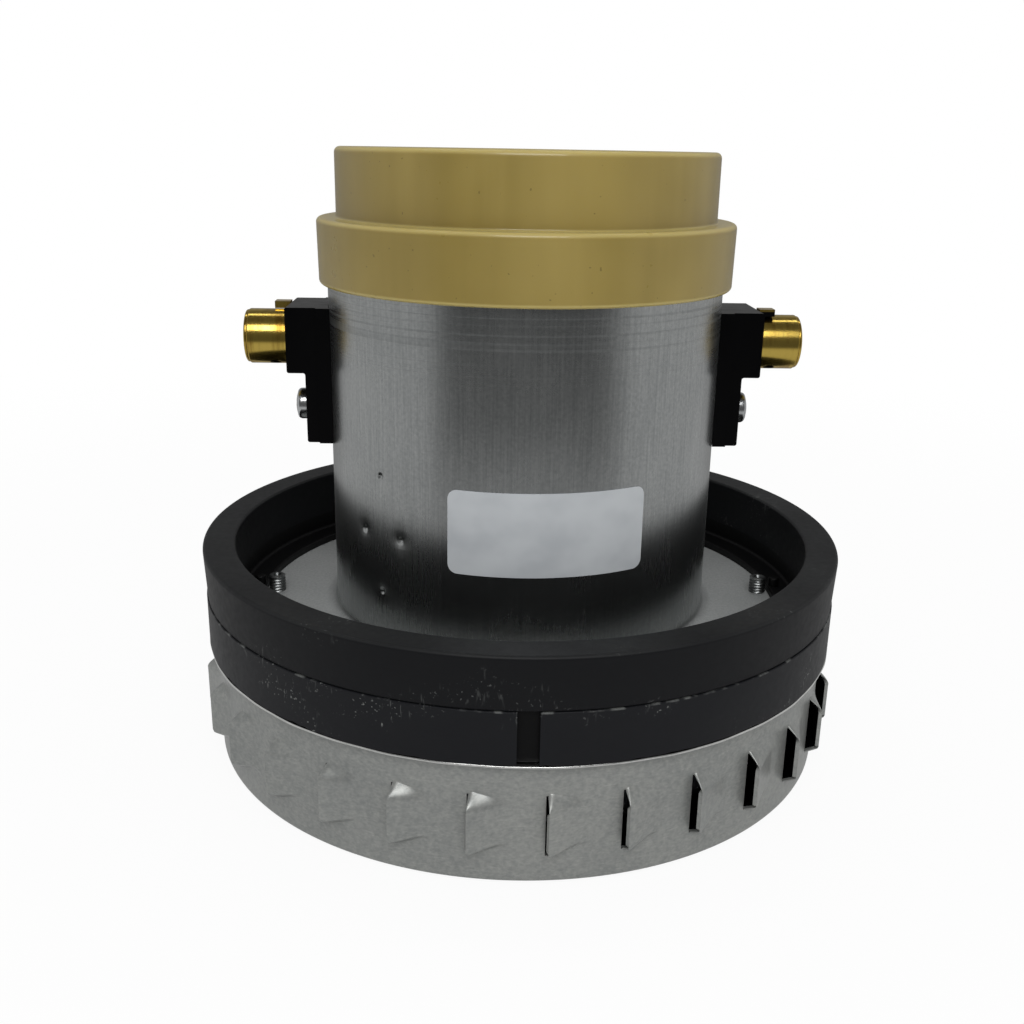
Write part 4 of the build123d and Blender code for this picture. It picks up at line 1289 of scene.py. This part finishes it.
@dataclass
class BrushGear:
    """Brass tube with its side hole and end cap, and the holder's pan-head screw."""

    height: float = 92.4
    tube: float = 6.04
    start: float = 15.2
    end: float = 61.0
    cap: float = 5.79
    cap_end: float = 61.7
    groove: float = 0.2
    groove_width: float = 0.12
    dish: float = 4.4
    dish_rim: float = 4.7
    dish_depth: float = 0.3
    dimple: float = 0.55
    dimple_rim: float = 1.0
    dimple_depth: float = 0.6
    hole: float = 1.15
    hole_depth: float = 0.9
    hole_place: float = 55.3
    hole_angle: float = -116.0
    fine_reach: float = 1.8
    fine_step: float = 0.12
    fine_half: float = 20.0
    fine_turn: float = 1.25
    plain_to: float = 52.5
    plain_rows: int = 6
    plain_columns: int = 72
    plain_places: tuple[float, ...] = (58.0, 59.2, 60.3)
    screw_height: float = 77.1
    screw_face: float = 48.1
    screw_end: float = 38.5
    shank: float = 1.75
    head: float = 3.5
    head_height: float = 3.4
    recess: float = 2.0
    recess_width: float = 0.85
    recess_depth: float = 1.3
    recess_turn: float = 20.0
    dome: float = 0.5
    dome_radius: float = 2.9
    dome_steps: int = 24
    rim_round: float = 0.6
    rim_steps: int = 8
    curl: float = 0.9
    columns: int = 96

    def turned(self, outline: np.ndarray, angles: np.ndarray) -> np.ndarray:
        """Surface of revolution about X: (r, x) goes to (x, r cos a, r sin a)."""
        return np.roll(lathe(outline, angles), 1, axis=-1)

    def tube_shell(self) -> Shell:
        """Round tube along X whose wall dips into a pit at the side hole.

        The radius falls by the hole's depth along a steep smooth step at the
        hole's edge, where the distance over the wall from its centre is its radius.
        """
        near = np.arange(-self.fine_reach, self.fine_reach + self.fine_step / 2, self.fine_step)
        plain = np.linspace(self.start, self.plain_to, self.plain_rows)
        places = np.concatenate([plain, self.hole_place + near, self.plain_places])
        start = self.hole_angle - self.fine_half
        end = start + 2 * self.fine_half
        fine = start + np.arange(0, 2 * self.fine_half, self.fine_turn)
        plain = np.linspace(end, start + 360, self.plain_columns)[:-1]
        angles = np.concatenate([fine, plain])
        outline = np.stack([np.full(len(places), self.tube), places], axis=1)
        grid = self.turned(outline, angles)
        across = np.radians(angles - self.hole_angle)[None, :] * self.tube
        distance = np.hypot(across, places[:, None] - self.hole_place)
        pit = 1 - soft_step(distance, self.hole - 0.1, self.hole + 0.05)
        grid[..., 1:] *= (1 - self.hole_depth * pit / self.tube)[..., None]
        groove = self.cap - self.groove
        step = self.end + self.groove_width
        dish = self.cap_end - self.dish_depth
        dimple = self.cap_end - self.dimple_depth
        rim = rounded_outline(
            [
                (self.tube, places[-1], 0.0), (self.tube, self.end, 0.2),
                (groove, self.end, 0.02), (groove, step, 0.02), (self.cap, step, 0.06),
                (self.cap, self.cap_end, 0.32), (self.dish_rim, self.cap_end, 0.15),
                (self.dish, dish, 0.15), (self.dimple_rim, dish, 0.15),
                (self.dimple, dimple, 0.1), (0.0, dimple, 0.0),
            ],
            closed=False,
        )
        shell = Shell().add(grid, close_columns=True)
        shell.add(self.turned(rim, angles), close_columns=True)
        return shell.add_end(grid[0], np.array([self.start, 0.0, 0.0]), flip=True)

    def screw_shell(self) -> Shell:
        """Pan head with a cross recess: a dome in polar rows, sunk inside the cross.

        The dome falls as the square of the radius, and its rim is rounded. Inside
        each arm of the cross the face sinks along a smooth step, less deep the
        further it is from the middle.
        """
        flat = np.linspace(0, self.dome_radius, self.dome_steps)
        bend = np.linspace(0, 1, self.rim_steps)[1:] * math.pi / 2
        rim = self.dome_radius + self.rim_round * np.sin(bend)
        radii = np.concatenate([flat, rim, [self.head, self.shank, self.shank, 0]])
        dome = self.dome * (flat / self.dome_radius) ** 2
        curl = self.dome + self.curl * (1 - np.cos(bend))
        reach = self.screw_face + self.head_height
        ends = [self.screw_face, self.screw_face, self.screw_end, self.screw_end]
        places = np.concatenate([reach - dome, reach - curl, ends])
        angles = full_turn(self.columns)
        grid = self.turned(np.stack([radii, places], axis=1), angles)
        turn = np.radians(angles + self.recess_turn)[None, :]
        sides = np.abs(radii[:, None, None] * np.stack([np.cos(turn), np.sin(turn)], axis=-1))
        half = self.recess_width / 2
        arms = 1 - soft_step(sides.min(axis=-1), half - 0.12, half + 0.05)
        deep = np.clip(1 - (radii / self.recess) ** 2, 0, 1)[:, None]
        sunk = self.recess_depth * arms * np.sqrt(deep)
        sunk[self.dome_steps:] = 0
        grid[..., 0] -= sunk
        return Shell().add(grid, close_columns=True, flip=True)

    def shade_pit(self, piece: bpy.types.Object) -> None:
        """Gives the faces inside the side hole a painted shade: a near-black brass finish."""
        mesh = piece.data
        places = read_all(mesh.polygons, "center", 3) / MM
        radius = np.hypot(places[:, 1], places[:, 2] - self.height)
        along = np.abs(np.abs(places[:, 0]) - self.hole_place)
        inside = (along < self.hole + 0.15) & (radius < self.tube - 0.1)
        mesh.materials.append(TUBE_PIT_SHADE.material())
        mesh.polygons.foreach_set("material_index", inside.astype(np.int32))

    def build(self) -> None:
        """Makes both sides; the left is the right's mirror image."""
        tube = self.tube_shell().placed(shift(z=self.height))
        screw = self.screw_shell().placed(shift(z=self.screw_height))
        both = Shell()
        for side in Side:
            piece = tube.placed(side.matrix()).build(f"brass_tube_{side.value}")
            nodes = (f"brush_tube_{side.value}", f"brush_cap_{side.value}")
            fit(piece, BRASS, *nodes)
            self.shade_pit(piece)
            both.join(screw.placed(side.matrix()))
        fit(both.build("holder_screw_heads"), SCREW_PLATING, "holder_screws")


@dataclass
class FlangeScrews:
    """Four screws whose threaded ends stand up through the flange plate."""

    circle: float = 58.0
    radius: float = 2.0
    pitch: float = 0.7
    thread: float = 0.24
    head_foot: float = 26.3
    head_top: float = 28.9
    head: float = 3.9
    end: float = 35.3
    dimple: float = 0.9
    columns: int = 40
    rows: int = 64
    tip: float = 0.25
    tip_inset: float = 0.15
    tip_round: float = 0.4
    fade_from: float = 0.8
    fade_share: float = 0.7
    dimple_rim: float = 0.1
    dimple_slope: float = 0.35
    dimple_side: float = 0.75
    dimple_depth: float = 0.85

    def screw_shell(self) -> Shell:
        """Head below, and a shank with a helical thread.

        The thread's depth is a triangle wave of height / pitch - turn, and it fades
        out towards the end.
        """
        angles = full_turn(self.columns)
        tip = self.end - self.tip
        heights = np.linspace(self.head_top, tip, self.rows)
        phase = (heights[:, None] / self.pitch - angles[None, :] / 360) % 1
        depth = self.thread * np.abs(2 * phase - 1)
        fade = self.fade_share * soft_step(heights, self.end - self.fade_from, tip)
        radius = self.radius - depth * (1 - fade[:, None])
        shank = around(radius, np.radians(angles)[None, :], heights[:, None])
        outline = rounded_outline(
            [
                (self.radius - self.tip_inset, tip, 0.0),
                (self.radius - self.tip_round, self.end, 0.08),
                (self.dimple + self.dimple_rim, self.end, 0.1),
                (self.dimple - self.dimple_slope, self.end - self.dimple_side, 0.15),
                (0.0, self.end - self.dimple_depth, 0.0),
            ],
            closed=False,
            steps=4,
        )
        top = lathe(outline, angles)
        top[0] = shank[-1]
        shell = turned_shell(
            [
                (0.0, self.head_foot, 0.0), (self.head, self.head_foot, 0.9),
                (self.head, self.head_top, 0.2), (self.radius, self.head_top, 0.0),
            ],
            self.columns,
            closed=False,
        )
        shell.add(shank, close_columns=True)
        return shell.add(top, close_columns=True)

    def build(self) -> None:
        """Stands the four screws on their circle."""
        shell = self.screw_shell().four(self.circle)
        fit(shell.build("flange_screw_set"), FLANGE_PLATING, "flange_screws")


class CadPieces:
    """Every piece that keeps its CAD mesh, dressed by its material slot."""

    def build(self) -> None:
        """Gives each CAD node the finish of its slot."""
        rows = frame["record"]["subparts"]
        slots = {row["node"]: row["material_slot"] for row in rows}
        for name, node in frame["nodes"].items():
            dress(node, CAD_FINISHES[slots[name]])
        LOG.info("%d CAD pieces dressed", len(frame["nodes"]))


@dataclass(frozen=True)
class Softbox:
    """Soft lamp that faces the middle of the object."""

    name: str
    place: Triple
    width: float
    height: float
    watts: float
    aim: Triple = (0.0, 0.0, 0.07)

    def build(self) -> None:
        """Makes the lamp and turns it to its aim."""
        lamp = bpy.data.lights.new(self.name, "AREA")
        lamp.shape = "RECTANGLE"
        lamp.size = self.width
        lamp.size_y = self.height
        lamp.energy = self.watts
        holder = stand(self.name, lamp)
        back = np.array(self.place) - np.array(self.aim)
        tilt = math.acos(back[2] / np.linalg.norm(back))
        holder.location = self.place
        holder.rotation_euler = (tilt, 0.0, math.atan2(back[0], -back[1]))


@dataclass
class Studio:
    """Pale floor, soft lamps, the walls that metal reflects, and the camera."""

    floor_half: float = 3.0
    floor_drop: float = 0.0002
    floor_white: float = 0.86
    lens: float = 39.49
    sensor: float = 36.0
    nearest: float = 0.01
    place: Triple = (-0.0110, -0.2526, 0.1335)
    pitch: float = 18.018
    roll: float = 1.008
    yaw: float = -2.037
    side_level: float = 0.52
    front_level: float = 0.105
    back_level: float = 0.28
    roof_share: float = 0.2
    plain_level: float = 0.60
    softboxes: tuple[Softbox, ...] = (
        Softbox("front softbox", (0.0, -0.66, 0.68), 0.52, 0.36, 3.7),
        Softbox("roof softbox", (0.0, 0.26, 0.92), 0.90, 0.12, 0.9),
    )

    def level(self, front: Signal, back: Signal) -> Signal:
        """Level that metal sees, where the room's front and back have these shares."""
        level = self.side_level - (self.side_level - self.front_level) * front
        return level - (self.side_level - self.back_level) * back

    def floor(self) -> None:
        """Pale floor: white to the camera, with a faint shadow near the object.

        Metal sees it at the level of the walls, dark right under the object, and
        dim in front beyond the object's own reach, where the photographer stands.
        """
        half = self.floor_half
        mesh = bpy.data.meshes.new("floor")
        corners = [(-half, -half, 0), (half, -half, 0), (half, half, 0), (-half, half, 0)]
        mesh.from_pydata(corners, [], [(0, 1, 2, 3)])
        ground = stand("floor", mesh)
        ground.location = (0, 0, -self.floor_drop)
        paint = bpy.data.materials.new("pale floor")
        paint.use_nodes = True
        recipe = Recipe(paint.node_tree)
        camera = recipe.ray("Camera")
        place = recipe.place()
        away = recipe.read("Value", "VectorMath", {0: place}, operation="LENGTH")
        way = recipe.read(0, "VectorMath", {0: place}, operation="NORMALIZE")
        ahead = recipe.axis(way, 1)
        front = (0 - ahead).step(0.50, 0.78) * away.step(0.18, 0.40)
        level = self.level(front, ahead.step(0.45, 0.85))
        level = level * (0.2 + 0.8 * away.step(0.048, 0.068))
        white = recipe.node("Emission", {"Color": level + (1 - level) * camera})
        matt = recipe.node("BsdfDiffuse", {"Color": (*(self.floor_white,) * 3, 1)})
        share = camera * (0.92 + 0.08 * away.step(0.15, 0.5)) + recipe.ray("Glossy")
        both = recipe.node("MixShader", {0: share, 1: matt.outputs[0], 2: white.outputs[0]})
        recipe.node("OutputMaterial", {"Surface": both.outputs[0]})
        mesh.materials.append(paint)

    def walls(self) -> None:
        """World: white to the camera, and the walls and roof of the room to metal.

        The level falls along smooth steps of the direction: in front, where the
        room is open to the photographer, behind, and overhead.
        """
        world = bpy.data.worlds.new("studio")
        bpy.context.scene.world = world
        world.use_nodes = True
        recipe = Recipe(world.node_tree)
        camera, clear, glossy = map(recipe.ray, ("Camera", "Transmission", "Glossy"))
        way = recipe.place("Generated")
        ahead = recipe.axis(way, 1)
        roof = recipe.axis(way, 2).step(0.45, 0.85)
        level = self.level((0 - ahead).step(0.42, 0.74), ahead.step(0.45, 0.9))
        level = level * (1 - (1 - self.roof_share) * roof)
        shown = recipe.math("MAXIMUM", camera, clear)
        plain = (1 - recipe.math("MAXIMUM", shown, glossy)) * self.plain_level
        shader = recipe.node("Background", {"Color": shown + glossy * level + plain})
        recipe.node("OutputWorld", {"Surface": shader.outputs[0]})

    def camera(self) -> None:
        """Camera fitted to the photograph's edges."""
        data = bpy.data.cameras.new("camera")
        data.lens = self.lens
        data.sensor_width = self.sensor
        data.clip_start = self.nearest
        holder = stand("camera", data)
        turn = (
            Matrix.Rotation(math.radians(self.yaw), 4, "Z")
            @ Matrix.Rotation(math.radians(90 - self.pitch), 4, "X")
            @ Matrix.Rotation(math.radians(self.roll), 4, "Z")
        )
        holder.matrix_world = Matrix.Translation(self.place) @ turn
        bpy.context.scene.camera = holder

    def build(self) -> None:
        """Sets the stage."""
        self.floor()
        self.walls()
        for softbox in self.softboxes:
            softbox.build()
        self.camera()
        bpy.context.scene.view_settings.view_transform = "Standard"


def main() -> None:
    """Builds each sub-assembly and the studio."""
    logging.basicConfig(level=logging.INFO, format="%(name)s %(message)s")
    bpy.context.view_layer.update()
    for group in (
        CadPieces(), TurbineHousing(), MotorCan(), BlankLabel(), SealRing(), SplitBand(),
        FanCover(), BrushHolders(), BrushGear(), FlangeScrews(), Studio(),
    ):
        group.build()


if __name__ == "__main__":
    main()
